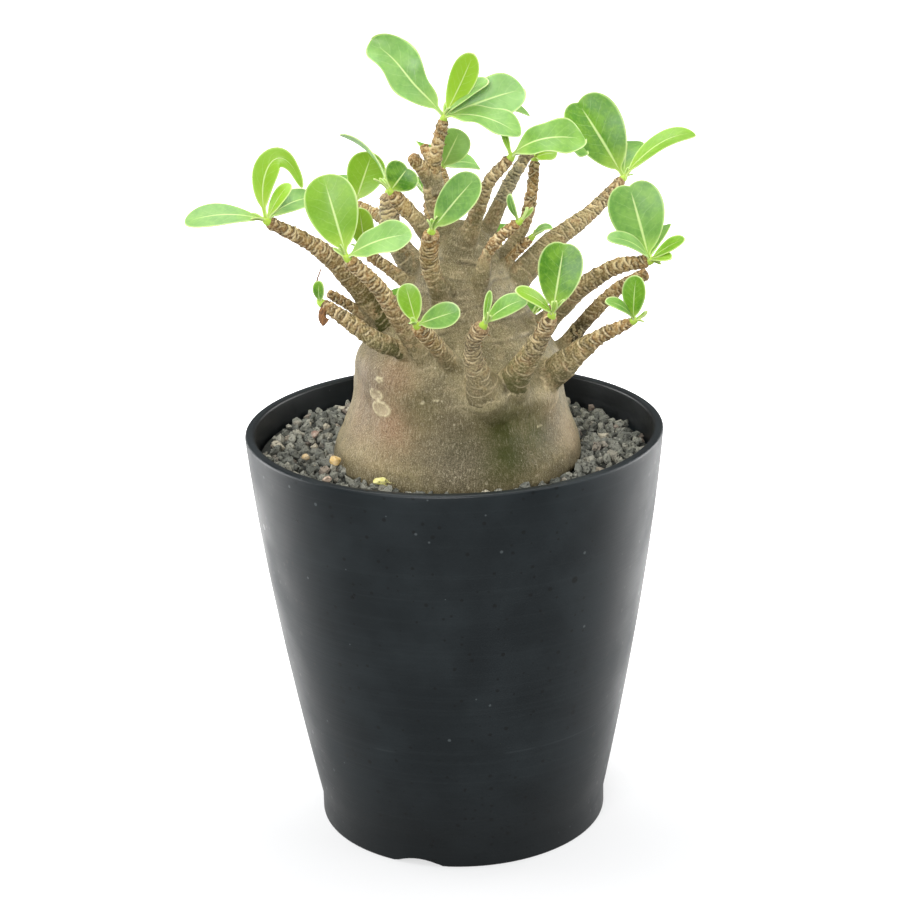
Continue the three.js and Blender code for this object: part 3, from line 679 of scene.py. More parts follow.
def relief(shader, height, depth):
    inputs = {"Height": height, "Strength": 1.0, "Distance": depth}
    feed(shader, Normal=add(height.tree, "ShaderNodeBump", inputs))


def new_material(name, **constants):
    material = bpy.data.materials.new(name)
    material.use_nodes = True
    shader = material.node_tree.nodes["Principled BSDF"]
    for key, value in constants.items():
        shader.inputs[key.replace("_", " ")].default_value = value
    return material, material.node_tree, shader


def new_tree(name, kind, inputs, result):
    """A node group, and the node that brings in its inputs, which are named under their kinds."""
    tree = bpy.data.node_groups.new(name, kind)
    for socket_kind, names in inputs.items():
        for socket_name in names:
            tree.interface.new_socket(socket_name, in_out="INPUT", socket_type="NodeSocket" + socket_kind)
    out_kind = "NodeSocketGeometry" if kind == "GeometryNodeTree" else "NodeSocketFloat"
    tree.interface.new_socket(result, in_out="OUTPUT", socket_type=out_kind)
    return tree, add(tree, "NodeGroupInput")


def dress(geometry, given, result):
    """Ends a geometry tree: its instances are made real and take on the given material."""
    real = add(given.tree, "GeometryNodeRealizeInstances", {"Geometry": geometry})
    done = add(given.tree, "GeometryNodeSetMaterial", {"Geometry": real, "Material": given["Material"]})
    add(given.tree, "NodeGroupOutput", {result: done})


def merged(*parts):
    """Several geometries as one."""
    tree = parts[0].tree
    whole = add(tree, "GeometryNodeJoinGeometry")
    for part in parts:
        tree.links.new(part.output, whole.output.node.inputs[0])
    return whole


def run_tree(obj, tree, values):
    """Gives the object the tree, sets its named inputs, and returns the result as a plain mesh object."""
    name = obj.name
    modifier = obj.modifiers.new("shape", "NODES")
    modifier.node_group = tree
    names = {item.name: item.identifier for item in tree.interface.items_tree if item.in_out == "INPUT"}
    for key, value in values.items():
        modifier[names[key]] = value
    return converted(obj, name)


def spots_group():
    """Small round marks: each cell of the pattern holds one mark, or none."""
    inputs = {"Vector": ["Place"], "Float": ["Scale", "Size", "Share"]}
    tree, given = new_tree("spots", "ShaderNodeTree", inputs, "Mask")
    place = {"Vector": given["Place"], "Scale": given["Scale"]}
    cells = add(tree, "ShaderNodeTexVoronoi", place, "Distance")
    lot = add(tree, "ShaderNodeSeparateColor", {0: cells["Color"]})
    size = given["Size"] * (lot[1] + 0.4)
    chosen = calc("LESS_THAN", lot[0], given["Share"])
    add(tree, "NodeGroupOutput", {"Mask": between(cells, size, size * 0.55) * chosen})
    return tree


SPOTS = spots_group()


def spots(place, scale, size, share):
    inputs = {"Place": place, "Scale": scale, "Size": size, "Share": share}
    return add(place.tree, "ShaderNodeGroup", inputs, node_tree=SPOTS)


# ---- Materials ----

def pot_plastic():
    """Satin black plastic with fine turning lines, dried water spots, dust and a faint scuffed ring, and
    painted shade that darkens it towards the foot and on the inner wall above the soil.
    """
    material, tree, shader = new_material("pot_plastic", Specular_IOR_Level=0.34)
    place = own_place(tree)
    dust = cloud(place, 45.0, 4.0)
    lines = cloud(stretched(place, (7, 7, 800)), 1.0, 3.0, 0.6)
    fine = cloud(stretched(place, (30, 30, 2400)), 1.0, 2.0)
    damp = spots(place, 330.0, 0.25, 0.4)
    drops = spots(place, 85.0, 0.1, 0.4)
    specks = spots(place, 210.0, 0.12, 0.16)
    marks = calc("MAXIMUM", damp * 0.75, drops * 0.9)
    _, _, height = axes(place)
    off_ring = calc("ABSOLUTE", height - SCUFF_HEIGHT)
    scuff = between(off_ring, 0.5 * MM, 0.1 * MM) * between(dust, 0.48, 0.6)
    inside = between(off_axis(place), RIM_RADIUS - 2 * MM, RIM_RADIUS - RIM_THICKNESS, 0.0, 0.6)
    base = layered(
        blend(between(dust, 0.35, 0.7), "10171a", "1b2225"),
        (between(lines, 0.5, 0.72, 0.0, 0.13), "2c3335"),
        (marks, "060909"),
        (specks * 0.5, "5b6264"),
        (scuff * 0.09, "5b6264"),
        # Painted shade: the plastic darkens from 50 mm down to the foot, standing in for the dimmer light
        # there.
        (between(height, 50 * MM, 4 * MM, 0.0, 0.5), "060808"),
        # Painted shade: the inner wall and the inner edge of the rim go near black above the soil, where the
        # pot shades them.
        (inside * between(height, SOIL_LINE - 4 * MM, SOIL_LINE - 2 * MM), "050607"),
    )
    feed(shader, Base_Color=base, Roughness=between(dust, 0.3, 0.75, 0.36, 0.5) - marks * 0.12)
    relief(shader, lines + fine, 0.03 * MM)
    return material


def lava_gravel():
    """Rough grey lava with pale specks of dust, a few grains brown, and painted shade that darkens it low
    down between and under the grains.
    """
    material, tree, shader = new_material("lava_gravel", Roughness=0.9, Specular_IOR_Level=0.25)
    place = own_place(tree)
    pores = cloud(place, 900.0, 4.0, 0.7)
    grey = add(tree, "ShaderNodeValToRGB", {0: attribute(tree, "shade")})
    elements = grey.output.node.color_ramp.elements
    elements[0].color = colour("64665f")
    elements[1].color = colour("c3bca8")
    for position, code in GRAIN_GREYS:
        elements.new(position).color = colour(code)
    x, y, z = axes(place)
    level = calc("MULTIPLY_ADD", y - x, GRAVEL_RISE / (2 * RIM_RADIUS), GRAVEL_TOP)
    stone = layered(
        grey,
        # Painted shade: the lava goes dark from 1 mm to 4 mm below the bed's sloping mean level, between and
        # under the grains.
        (between(z - level, -1 * MM, -4 * MM), "171816"),
        (between(pores, 0.5, 0.34, 0.0, 0.75), "20211f"),
        (spots(place, 600.0, 0.3, 0.3) * 0.35, "cbc8bb"),
    )
    feed(shader, Base_Color=stone)
    relief(shader, pores, 1.2 * MM)
    return material


def pale_pumice(name, tint):
    material, tree, shader = new_material(name, Roughness=0.9, Specular_IOR_Level=0.25)
    place = own_place(tree)
    pores = cloud(place, 700.0, 4.0, 0.6)
    pits = spots(place, 900.0, 0.35, 0.5)
    light = [dark + 0.35 * (pale - dark) for dark, pale in zip(colour(tint), colour("f4ecd8"))]
    stone = blend(between(pores, 0.3, 0.7), tint, light)
    feed(shader, Base_Color=blend(pits * 0.5, stone, "5a4a38"))
    relief(shader, pores - pits, 0.4 * MM)
    return material


def bark():
    """Grey-brown skin with fine upright streaks, mossy and reddish tints and pale specks, which
    turns to tan bark with pale leaf scars along the branches."""
    material, tree, shader = new_material("bark", Specular_IOR_Level=0.2)
    place = own_place(tree)
    wander = cloud(place, 120.0, 2.0)
    sway = {0: combined(tree, X=wander, Y=wander), 1: (6 * MM, 6 * MM, 0.0), 2: place}
    swayed = add(tree, "ShaderNodeVectorMath", sway, operation="MULTIPLY_ADD")
    streaks = cloud(stretched(swayed, (2200, 2200, 330)), 1.0, 4.0, 0.65)
    mottle = cloud(place, 90.0, 5.0, 0.6)
    patches = cloud(place, 330.0, 3.0, 0.6)
    grain = cloud(place, 1400.0, 3.0)
    fine = cloud(place, 2600.0, 2.0)
    broken = between(cloud(place, 1000.0, 2.0), 0.36, 0.52, 0.35, 1.0)
    specks = spots(place, 480.0, 0.2, 0.13)
    flecks = spots(stretched(place, (1, 1, 0.3)), 1300.0, 0.36, 0.35)
    dots = calc("MAXIMUM", specks * 0.34, flecks * 0.08)
    mask = {name: attribute(tree, name) for name in (*BARK_MASKS, *SKIN_MASKS)}
    dewy = between(mottle, 0.75, 0.35, 0.8, 1.0) * between(streaks, 0.45, 0.75, 1.0, 0.75)
    skin = layered(
        blend(between(mottle, 0.35, 0.65), "6d6346", "8e835c"),
        (between(patches, 0.5, 0.7, 0.0, 0.5), "a3926e"),
        (between(patches, 0.45, 0.28, 0.0, 0.55), "5a4f38"),
        (mask["greyish"] * between(mottle, 0.2, 0.6, 0.4, 0.8), "6c604d"),
        (mask["pale"] * 0.6, "c8bb90"),
        (mask["flush"] * between(mottle, 0.25, 0.6, 0.45, 1.0), "98785c"),
        (mask["dusty"] * 0.7, "4c4535"),
        (between(streaks, 0.5, 0.74, 0.0, 0.48), "cfc3a5"),
        (between(streaks, 0.48, 0.28, 0.0, 0.6), "3d3324"),
        (between(fine, 0.48, 0.72, 0.0, 0.32), "cdc09c"),
        (between(fine, 0.5, 0.26, 0.0, 0.42), "3a3122"),
        (mask["moss"] * dewy, "393e10"),
        (dots, "ddd2b2"),
    )
    tan = layered(
        blend(between(mottle, 0.35, 0.65), "846f45", "b0945f"),
        (between(patches, 0.5, 0.68, 0.0, 0.6), "ad7a4c"),
        (mask["greyish"], "9a937b"),
        (mask["moss"] * between(patches, 0.62, 0.4, 0.3, 0.9), "5f6339"),
        (mask["reddish"], "93683f"),
        (between(mask["shade"], 0.55, 0.95, 0.0, 0.8), "e0c796"),
        (between(mask["shade"], 0.45, 0.05, 0.0, 0.8), "453d23"),
        (between(grain, 0.45, 0.72, 0.0, 0.6), "dccb9e"),
        (between(grain, 0.5, 0.25, 0.0, 0.6), "352c1e"),
    )
    both = layered(
        blend(mask["ringed"], skin, tan),
        # Dark grooves behind the leaf scars, and painted shade in the neck's creases, in the crease between
        # two branches and on the shaded lower halves of some branches.
        (mask["groove"] * 0.9, "1d150e"),
        (mask["rim"] * broken, "f2e0b6"),
        (mask["scar"], "d9cda6"),
    )
    feed(shader, Base_Color=both, Roughness=between(mask["ringed"], 0.0, 1.0, 0.55, 0.72))
    relief(shader, streaks * 0.8 + grain * 0.8 + dots * 0.4, 0.22 * MM)
    return material


def leaf_green():
    """Glossy leaf: deep green to lime, with a pale midrib, faint side veins, a thin pale margin, and a
    painted pale sheen on some leaves.
    """
    material, tree, shader = new_material(
        "leaf_green", Subsurface_Weight=0.25, Subsurface_Scale=1 * MM, Subsurface_Radius=(0.6, 1.0, 0.2),
        Specular_IOR_Level=0.36)
    place = own_place(tree)
    along, across, _ = axes(add(tree, "ShaderNodeUVMap", uv_map="blade"))
    out = calc("ABSOLUTE", calc("MULTIPLY_ADD", across, 2.0, -1.0))
    tone = attribute(tree, "tone")
    mottle = cloud(place, 150.0, 4.0, 0.6)
    fine = cloud(place, 1100.0, 2.0)
    vein_phase = calc("FRACT", along * 8.0 - out * 1.9 + mottle * 0.9)
    vein = between(calc("ABSOLUTE", vein_phase - 0.5), 0.07, 0.0) * between(out, 0.95, 0.4, 0.0, 0.12)
    rib = between(out / between(along, 0.1, 1.0, 0.1, 0.025), 1.0, 0.35) * between(along, 0.96, 0.7)
    green = layered(
        blend(between(tone, -1.0, 0.0), "2b5f12", "50861d"),
        (between(tone, 0.0, 1.0), "96c030"),
        (between(mottle, 0.4, 0.65, 0.0, 0.4), "8ab62f"),
        (between(fine, 0.45, 0.7, 0.0, 0.18), "9cc74a"),
        (between(along, 0.4, 0.05, 0.0, 0.7), "b7d455"),
        # Painted sheen: pale mint over the leaves given it, standing in for the soft reflection of the light
        # above.
        (attribute(tree, "bloom") * between(mottle, 0.25, 0.65, 0.6, 0.9), "9bc37d"),
        (vein, "d8ecaa"),
        (rib * 0.72, "d9eaa0"),
        (attribute(tree, "margin") * 0.65, "e0edaa"),
    )
    feed(shader, Base_Color=green, Roughness=between(mottle, 0.3, 0.7, 0.34, 0.46))
    relief(shader, rib * -0.8 + vein * -1.2 + mottle * 0.5, 0.12 * MM)
    return material


def dry_husk():
    material, tree, shader = new_material("dry_husk", Roughness=0.8, Specular_IOR_Level=0.3)
    fibre = cloud(stretched(own_place(tree), (1800, 1800, 500)), 1.0, 3.0)
    feed(shader, Base_Color=blend(between(fibre, 0.3, 0.7), "5c4330", "9a6e45"))
    relief(shader, fibre, 0.2 * MM)
    return material


# ---- Pot ----

def arc(centre, radius, from_degrees, to_degrees):
    angles = np.radians(np.linspace(from_degrees, to_degrees, ROUND_STEPS))
    return [(centre[0] + radius * math.cos(a), centre[1] + radius * math.sin(a)) for a in angles]


def taper(height_share):
    """Radius and height of the pot's outer wall at a share of the way up its curve."""
    t = height_share
    ends = ((FOOT_RADIUS, FOOT_HEIGHT), (BELLY_RADIUS, BELLY_HEIGHT), (RIM_RADIUS, POT_HEIGHT - EDGE_ROUND))
    weights = ((1 - t) ** 2, 2 * t * (1 - t), t * t)
    return tuple(sum(w * end[axis] for w, end in zip(weights, ends)) for axis in (0, 1))


def wall_radius(height):
    walls = np.array([taper(t) for t in np.linspace(0, 1, 60)])
    return float(np.interp(height, walls[:, 1], walls[:, 0]))


def pot_profile():
    """The pot's section, from the axis under the floor, round the wall, to the axis on the floor."""
    e = EDGE_ROUND
    inner_foot = FOOT_RADIUS - FOOT_RING
    inner_rim = RIM_RADIUS - RIM_THICKNESS
    outside = [taper(t) for t in np.linspace(0, 1, WALL_STEPS)]
    inside = [(r - POT_WALL, z) for r, z in outside if FLOOR_TOP + INNER_ROUND < z < POT_HEIGHT - RIM_DEPTH]
    low_r = wall_radius(FLOOR_TOP + INNER_ROUND) - POT_WALL
    points = [(0, FLOOR_UNDERSIDE), (inner_foot, FLOOR_UNDERSIDE), (inner_foot, e / 3)]
    points += arc((FOOT_RADIUS - e, e), e, -90, 0) + outside[:-1]
    points += arc((RIM_RADIUS - e, POT_HEIGHT - e), e, 0, 90)
    points += arc((inner_rim + e, POT_HEIGHT - e), e, 90, 180)
    points += [(inner_rim, POT_HEIGHT - RIM_DEPTH + 1.5 * MM)] + inside[::-1]
    points += arc((low_r - INNER_ROUND, FLOOR_TOP + INNER_ROUND), INNER_ROUND, 0, -90) + [(0, FLOOR_TOP)]
    return points


def pot_tree():
    """Turns a section round the Z axis, arches the foot ring, and drills the drain holes."""
    tree, given = new_tree("nursery_pot", "GeometryNodeTree", {
        "Geometry": ["Section"],
        "Int": ["Sides", "Drain Count"],
        "Float": ["Notch Start", "Notch Turn", "Notch Width", "Notch Height", "Foot Radius",
                  "Drain Radius", "Drain Circle"],
        "Material": ["Material"],
    }, "Pot")
    rows = add(tree, "GeometryNodeAttributeDomainSize", {"Geometry": given["Section"]}, "Point Count")
    grid = add(tree, "GeometryNodeMeshGrid", {"Vertices X": given["Sides"] + 1, "Vertices Y": rows})
    spot = add(tree, "GeometryNodeInputPosition")
    x, y, _ = axes(spot)
    angle = (x + 0.5) * math.tau
    row = calc("ROUND", (y + 0.5) * (rows - 1))
    section = {"Geometry": given["Section"], "Value": spot, "Index": row}
    radius, _, height = axes(add(tree, "GeometryNodeSampleIndex", section, data_type="FLOAT_VECTOR"))

    from_notch = calc("PINGPONG", angle - given["Notch Start"], given["Notch Turn"] / 2.0)
    reach = from_notch * given["Foot Radius"] / given["Notch Width"]
    arch = (1.0 - reach * reach * 4.0) * given["Notch Height"]
    turned = {"X": radius * calc("COSINE", angle), "Y": radius * calc("SINE", angle)}
    place = combined(tree, **turned, Z=calc("MAXIMUM", height, arch))
    shell = add(tree, "GeometryNodeSetPosition", {"Geometry": grid, "Position": place})
    shell = add(tree, "GeometryNodeMergeByDistance", {"Geometry": shell, "Distance": 0.001 * MM})

    circle = {"Vertices": given["Drain Count"], "Radius": given["Drain Circle"]}
    middle = add(tree, "GeometryNodeMeshLine", {"Count": 1})
    centres = merged(add(tree, "GeometryNodeMeshCircle", circle), middle)
    drill = {"Vertices": DRAIN_SIDES, "Radius": given["Drain Radius"], "Depth": 40 * MM}
    drills = {"Points": centres, "Instance": add(tree, "GeometryNodeMeshCylinder", drill)}
    drills = add(tree, "GeometryNodeInstanceOnPoints", drills)
    holes = add(tree, "GeometryNodeRealizeInstances", {"Geometry": drills})
    meshes = {"Mesh 1": shell, "Mesh 2": holes}
    cut = add(tree, "GeometryNodeMeshBoolean", meshes, operation="DIFFERENCE", solver="EXACT")
    dress(cut, given, "Pot")
    return tree


def make_pot():
    section = pot_profile()
    obj = mesh_object("nursery_pot", [(r, 0, z) for r, z in section], [])
    pot = run_tree(obj, pot_tree(), {
        "Sides": POT_SIDES, "Notch Start": NOTCH_START, "Notch Turn": NOTCH_TURN,
        "Notch Width": NOTCH_WIDTH, "Notch Height": NOTCH_HEIGHT, "Foot Radius": FOOT_RADIUS,
        "Drain Radius": DRAIN_RADIUS, "Drain Circle": DRAIN_CIRCLE, "Drain Count": DRAIN_COUNT,
        "Material": pot_plastic(),
    })
    outward(pot.data)
    smooth(pot.data, POT_CREASE)
    place_piece(pot, "pot_plastic", "pot")


# ---- Gravel ----

def angular_stone(seed, corners, dents=0.0):
    """A broken stone about one unit in half size: the hull of points scattered on a ball."""
    draw = random.Random(seed)
    body = bmesh.new()
    for _ in range(corners):
        way = random_way(draw)
        way *= draw.uniform(0.85, 1.1)
        way.z *= STONE_FLATNESS
        body.verts.new(way)
    hull = bmesh.ops.convex_hull(body, input=body.verts)
    loose = [g for g in hull["geom_interior"] + hull["geom_unused"] if isinstance(g, bmesh.types.BMVert)]
    bmesh.ops.delete(body, geom=list(set(loose)), context="VERTS")
    for vertex in body.verts:
        vertex.co *= 1 - dents * draw.random() ** 2
    bmesh.ops.recalc_face_normals(body, faces=body.faces)
    return body


def bed_reach():
    return wall_radius(GRAVEL_TOP) - RIM_THICKNESS - 2 * GAP


def gravel_bed():
    """The filled body under the grains, with a pit where the caudex stands."""
    inset = POT_WALL + 2 * GAP
    levels = [(wall_radius(h) - inset, h) for h in np.linspace(FLOOR_TOP + GAP + INNER_ROUND, 0.134, 8)]
    top = [(r, GRAVEL_TOP) for r in np.linspace(bed_reach(), TRUNK_FOOT, 8)]
    pit = [(radius * MM, height * MM) for radius, height in PIT]
    rings = []
    for radius, height in [(levels[0][0] - INNER_ROUND, FLOOR_TOP + GAP), *levels, *top, *pit]:
        angles = evenly_round(BED_SIDES)
        ring = np.stack([radius * np.cos(angles), radius * np.sin(angles), np.full(BED_SIDES, height)], 1)
        if radius <= TRUNK_FOOT:
            ring[:, :2] += CAUDEX_CENTRE
        if height == GRAVEL_TOP:
            slope = (ring[:, 1] - ring[:, 0]) / (2 * RIM_RADIUS)
            ring[:, 2] = GRAVEL_TOP + GRAVEL_RISE * slope - BED_DEPTH
        rings.append(ring)
    return loft(np.array(rings))


def lot(seed, low=0.0, high=1.0):
    """A random number for each point."""
    return add(seed.tree, "FunctionNodeRandomValue", {2: low, 3: high, "Seed": seed}, 1)


def lots(seed, low, high):
    """A random vector for each point."""
    inputs = {"Min": (low, low, low), "Max": (high, high, high), "Seed": seed}
    return add(seed.tree, "FunctionNodeRandomValue", inputs, data_type="FLOAT_VECTOR")


def grain_layer(given, number):
    """Grains over the level part of the bed, each with its own size, turn, height and shade."""
    tree = given.tree
    spacing, lift = given[f"Spacing {number}"], given[f"Lift {number}"]
    seed = given["Seed"] + number
    _, _, facing_up = axes(add(tree, "GeometryNodeInputNormal"))
    reach = off_axis(add(tree, "GeometryNodeInputPosition"))
    inside = calc("LESS_THAN", reach, given["Outermost"])
    outside = calc("GREATER_THAN", reach, given["Innermost"])
    points = add(tree, "GeometryNodeDistributePointsOnFaces", {
        "Mesh": given["Bed"],
        "Selection": calc("GREATER_THAN", facing_up, LEVEL_ENOUGH) * (inside * outside),
        "Distance Min": spacing,
        "Density Max": calc("DIVIDE", 2.0, spacing * spacing),
        "Seed": seed,
    }, distribute_method="POISSON")
    offset = combined(tree, Z=lot(seed, *GRAIN_RISE) + lift)
    points = add(tree, "GeometryNodeSetPosition", {"Geometry": points, "Offset": offset})
    shade = {"Geometry": points, "Name": "shade", "Value": lot(seed + 10)}
    points = add(tree, "GeometryNodeStoreNamedAttribute", shade)
    kinds = {"Collection": given["Grains"], "Separate Children": True, "Reset Children": True}
    bulk = lot(seed + 20, given["Smallest"], given["Largest"])
    scale = {0: lots(seed + 30, *GRAIN_STRETCH), "Scale": bulk}
    grains = add(tree, "GeometryNodeInstanceOnPoints", {
        "Points": points,
        "Instance": add(tree, "GeometryNodeCollectionInfo", kinds),
        "Pick Instance": True,
        "Rotation": lots(seed, 0, math.tau),
        "Scale": add(tree, "ShaderNodeVectorMath", scale, operation="SCALE"),
    })
    return add(tree, "GeometryNodeRealizeInstances", {"Geometry": grains})


def gravel_tree(layers):
    """Layers of scattered grains on a filled bed."""
    tree, given = new_tree("scattered_grains", "GeometryNodeTree", {
        "Geometry": ["Bed"],
        "Collection": ["Grains"],
        "Float": ["Innermost", "Outermost", "Smallest", "Largest", *layers],
        "Int": ["Seed"],
        "Material": ["Material"],
    }, "Gravel")
    scattered = [grain_layer(given, number) for number in range(len(GRAIN_LAYERS))]
    dress(merged(given["Bed"], *scattered), given, "Gravel")
    return tree


def make_gravel():
    kinds = bpy.data.collections.new("grain_kinds")
    for kind in range(GRAIN_KINDS):
        mesh = bpy.data.meshes.new(f"grain_{kind}")
        body = angular_stone(GRAIN_SEED + kind, GRAIN_CORNERS, GRAIN_DENTS)
        body.to_mesh(mesh)
        body.free()
        kinds.objects.link(bpy.data.objects.new(f"grain_{kind}", mesh))
    bed = mesh_object("gravel", *gravel_bed())
    layers = {}
    for number, (lift, spacing) in enumerate(GRAIN_LAYERS):
        layers[f"Lift {number}"] = lift
        layers[f"Spacing {number}"] = spacing
    gravel = run_tree(bed, gravel_tree(layers), {
        "Grains": kinds, "Innermost": TRUNK_FOOT - 2 * MM, "Outermost": bed_reach() - GRAIN_SIZES[1] * 0.75,
        "Smallest": GRAIN_SIZES[0], "Largest": GRAIN_SIZES[1], "Seed": GRAIN_SEED,
        "Material": lava_gravel(), **layers,
    })
    for grain in list(kinds.objects):
        bpy.data.objects.remove(grain)
    bpy.data.collections.remove(kinds)
    place_piece(gravel, "gravel", "soil")


def make_loose_stones():
    for number, stone in enumerate(LOOSE_STONES, 1):
        body = angular_stone(STONE_SEED + number, STONE_CORNERS)
        bmesh.ops.bevel(body, geom=body.edges, offset=0.07, segments=1, affect="EDGES")
        bmesh.ops.triangulate(body, faces=body.faces)
        bmesh.ops.subdivide_edges(body, edges=body.edges, cuts=1, use_grid_fill=True)
        for vertex in body.verts:
            vertex.co *= 1 + 0.06 * noise.noise(vertex.co * 4)
            vertex.co = Vector(c * half * MM for c, half in zip(vertex.co, stone["size"]))
            vertex.co += Vector(stone["at"]) * MM
        material = pale_pumice(f"pale_pumice_{number}", stone["tint"])
        obj = mesh_object(f"pale_stone_{number}", [], [], material)
        body.to_mesh(obj.data)
        body.free()
        place_piece(obj, "pale_pumice", f"loose_stone_{number}")


# ---- Branches ----

def through(route, steps=24):
    """A smooth centripetal curve through the points of a route."""
    points = np.array(route, float)
    points = np.vstack([2 * points[0] - points[1], points, 2 * points[-1] - points[-2]])
    spans = []
    for p0, p1, p2, p3 in zip(points, points[1:], points[2:], points[3:]):
        d0, d1, d2 = (math.sqrt(np.linalg.norm(b - a)) for a, b in ((p0, p1), (p1, p2), (p2, p3)))
        leave = ((p1 - p0) / d0 - (p2 - p0) / (d0 + d1) + (p2 - p1) / d1) * d1
        reach = ((p2 - p1) / d1 - (p3 - p1) / (d1 + d2) + (p3 - p2) / d2) * d1
        t = np.linspace(0, 1, steps, endpoint=False)[:, None]
        spans.append((2 * t**3 - 3 * t**2 + 1) * p1 + (t**3 - 2 * t**2 + t) * leave
                     + (3 * t**2 - 2 * t**3) * p2 + (t**3 - t**2) * reach)
    return np.vstack([*spans, points[-2:-1]])


@dataclass
class Scar:
    """A leaf scar: a thin pale ridge part of the way round a branch."""
    at: float
    angle: float
    spread: float  # half the angle that it takes up
    bow: float  # how far its ends run on towards the tip
    tilt: float
    strength: float
    shade: float
    ragged: float  # how far its line strays


class Branch:
    """A branch's centreline with a frame at every step, and its leaf scars."""

    def __init__(self, name, radius, route):
        line = through(route) * MM
        run = run_along(line)
        self.name = name
        self.length = run[-1]
        self.radii = np.array(radius) * MM  # spaced evenly from root to tip
        count = int(self.length / BRANCH_STEP) + 1
        self.at = np.linspace(0, self.length, count)
        self.centre = np.stack([np.interp(self.at, run, line[:, axis]) for axis in range(3)], 1)
        self.tangent = unit(np.gradient(self.centre, axis=0))
        across = np.array(SIDEWAYS)
        self.across = np.empty_like(self.tangent)
        for step, tangent in enumerate(self.tangent):
            across = unit(across - tangent * (across @ tangent))
            self.across[step] = across
        self.along = np.cross(self.tangent, self.across)
        self.scars = self.spiral()

    def side(self):
        x, y, _ = self.centre[-1]
        if y > BACK_LINE:
            return "back"
        return "left" if x < 0 else "right"

    def spiral(self):
        """Leaf scars in a spiral, closer and closer towards the tip."""
        draw = random.Random(self.name)
        at, angle, scars = -SKIRT, draw.uniform(0, math.tau), []
        while at < self.length - 0.3 * MM:
            share = max(0, min(1, at / self.length * 1.6))
            pitch = SCAR_PITCH[0] + (SCAR_PITCH[1] - SCAR_PITCH[0]) * share
            scars.append(Scar(
                at=at,
                angle=angle + draw.gauss(0, SCAR_STRAY),
                spread=SCAR_SPREAD * draw.uniform(*SCAR_LENGTHS),
                bow=SCAR_BOW * draw.uniform(*SCAR_BOWS),
                tilt=draw.gauss(0, SCAR_TILT) * MM,
                strength=draw.uniform(*SCAR_STRENGTHS),
                shade=draw.random(),
                ragged=draw.uniform(*SCAR_RAGGED) * MM,
            ))
            at += pitch * draw.uniform(*SCAR_GAPS)
            angle += SCAR_TURN
        return scars

    def radius(self, at):
        share = np.clip(at / self.length, 0, 1)
        plain = np.interp(share, np.linspace(0, 1, len(self.radii)), self.radii)
        waves = np.sin(at / SWELL_PERIODS[0] + len(self.name)) * np.sin(at / SWELL_PERIODS[1])
        flare = ROOT_FLARE * np.maximum(0, 1 - np.maximum(at, 0) / FLARE_REACH)
        return plain * (1 + BRANCH_SWELL * waves + flare)

    def bark(self, at, angle):
        """How high the bark stands, and its masks: pale rims, dark grooves, and each scar's own shade."""
        ridge, rim, groove, most = (np.zeros_like(at) for _ in range(4))
        shade = np.full_like(at, 0.5)
        for scar in self.scars:
            around = np.angle(np.exp(1j * (angle - scar.angle))) / scar.spread
            window = np.cos(np.clip(np.abs(around), 0, 1) * math.pi / 2) ** 0.6
            ragged = np.sin(4 * angle + 9 * scar.shade) + 0.6 * np.sin(9 * angle + 31 * scar.shade)
            line = scar.at + scar.bow * around**2 + scar.tilt * around + scar.ragged * ragged
            off = (at - line) / SCAR_EDGE
            ridge = np.maximum(ridge, window * bell(np.where(off > 0, off * 1.2, off / 2.1), 0, 1))
            rim = np.maximum(rim, window * scar.strength * bell(off, -0.2, 0.85))
            groove = np.maximum(groove, window * bell(off, 1.6, 1.1))
            cover = window * bell(off, -1.2, 2)
            shade = np.where(cover > most, scar.shade, shade)
            most = np.maximum(most, cover)
        grown = smoothstep(0.1, 0.7, at / self.length)
        return {
            "height": ridge * (SCAR_RELIEF[0] + (SCAR_RELIEF[1] - SCAR_RELIEF[0]) * grown),
            "rim": rim * (0.6 + 0.4 * grown),
            "groove": groove * (0.25 + 0.75 * grown) * (1 - rim),
            "shade": 0.5 + (shade - 0.5) * smoothstep(0.02, 0.4, most) * grown,
        }


def stub(branch):
    """The smooth foot of a branch, which grows out of the trunk."""
    reach = min(STUB_REACH, 0.45 * branch.length)
    steps = [-ROOT_DEPTH, -ROOT_DEPTH / 2, *np.linspace(0, reach, 12), reach + 1.2 * MM]
    rings = []
    for at in steps:
        index = int(np.clip(at / branch.length, 0, 1) * (len(branch.at) - 1))
        centre = branch.centre[index] + branch.tangent[0] * min(at, 0)
        radius = branch.radius(at) * (0.45 if at > reach else 0.97)
        angles = evenly_round(STUB_SIDES)[:, None]
        rings.append(centre + radius * spokes(angles, branch.across[index], branch.along[index]))
    return loft(np.array(rings))


def ringed_part(branch, masks):
    """The ringed bark of a branch, closed at its tip; adds its masks to the lists."""
    first = int(RINGS_START / BRANCH_STEP)
    angles = evenly_round(BRANCH_SIDES)
    at = branch.at[first:]
    grid_at, grid_angle = np.meshgrid(at, angles, indexing="ij")
    marks = branch.bark(grid_at, grid_angle)
    radius = branch.radius(grid_at) + marks["height"] - 0.4 * SCAR_RELIEF[1]
    radius *= 1 - 0.06 * smoothstep(4 * MM, 0, grid_at)
    out = spokes(angles[None, :, None], branch.across[first:, None], branch.along[first:, None])
    rings = branch.centre[first:, None] + radius[:, :, None] * out
    rough = ripple(rings.reshape(-1, 3), 1.5 * MM, 2).reshape(len(at), -1, 1)
    rings += out * (BARK_RIPPLE * rough)
    domes = []
    for lift, shrink in TIP_DOME:
        middle = branch.centre[-1] + branch.tangent[-1] * lift * branch.radii[-1]
        domes.append(middle + (rings[-1] - branch.centre[-1]) * shrink)
    rings = np.concatenate([rings, np.array(domes)])
    marks["share"] = grid_at / branch.length
    for key in (*BARK_MASKS, "share"):
        values = np.vstack([marks[key], np.repeat(marks[key][-1:], len(TIP_DOME), 0)])
        masks[key] += [*values.ravel(), values[0].mean(), values[-1].mean()]
    points, faces = loft(rings)
    masks["name"] += [branch.name] * len(points)
    return points, faces


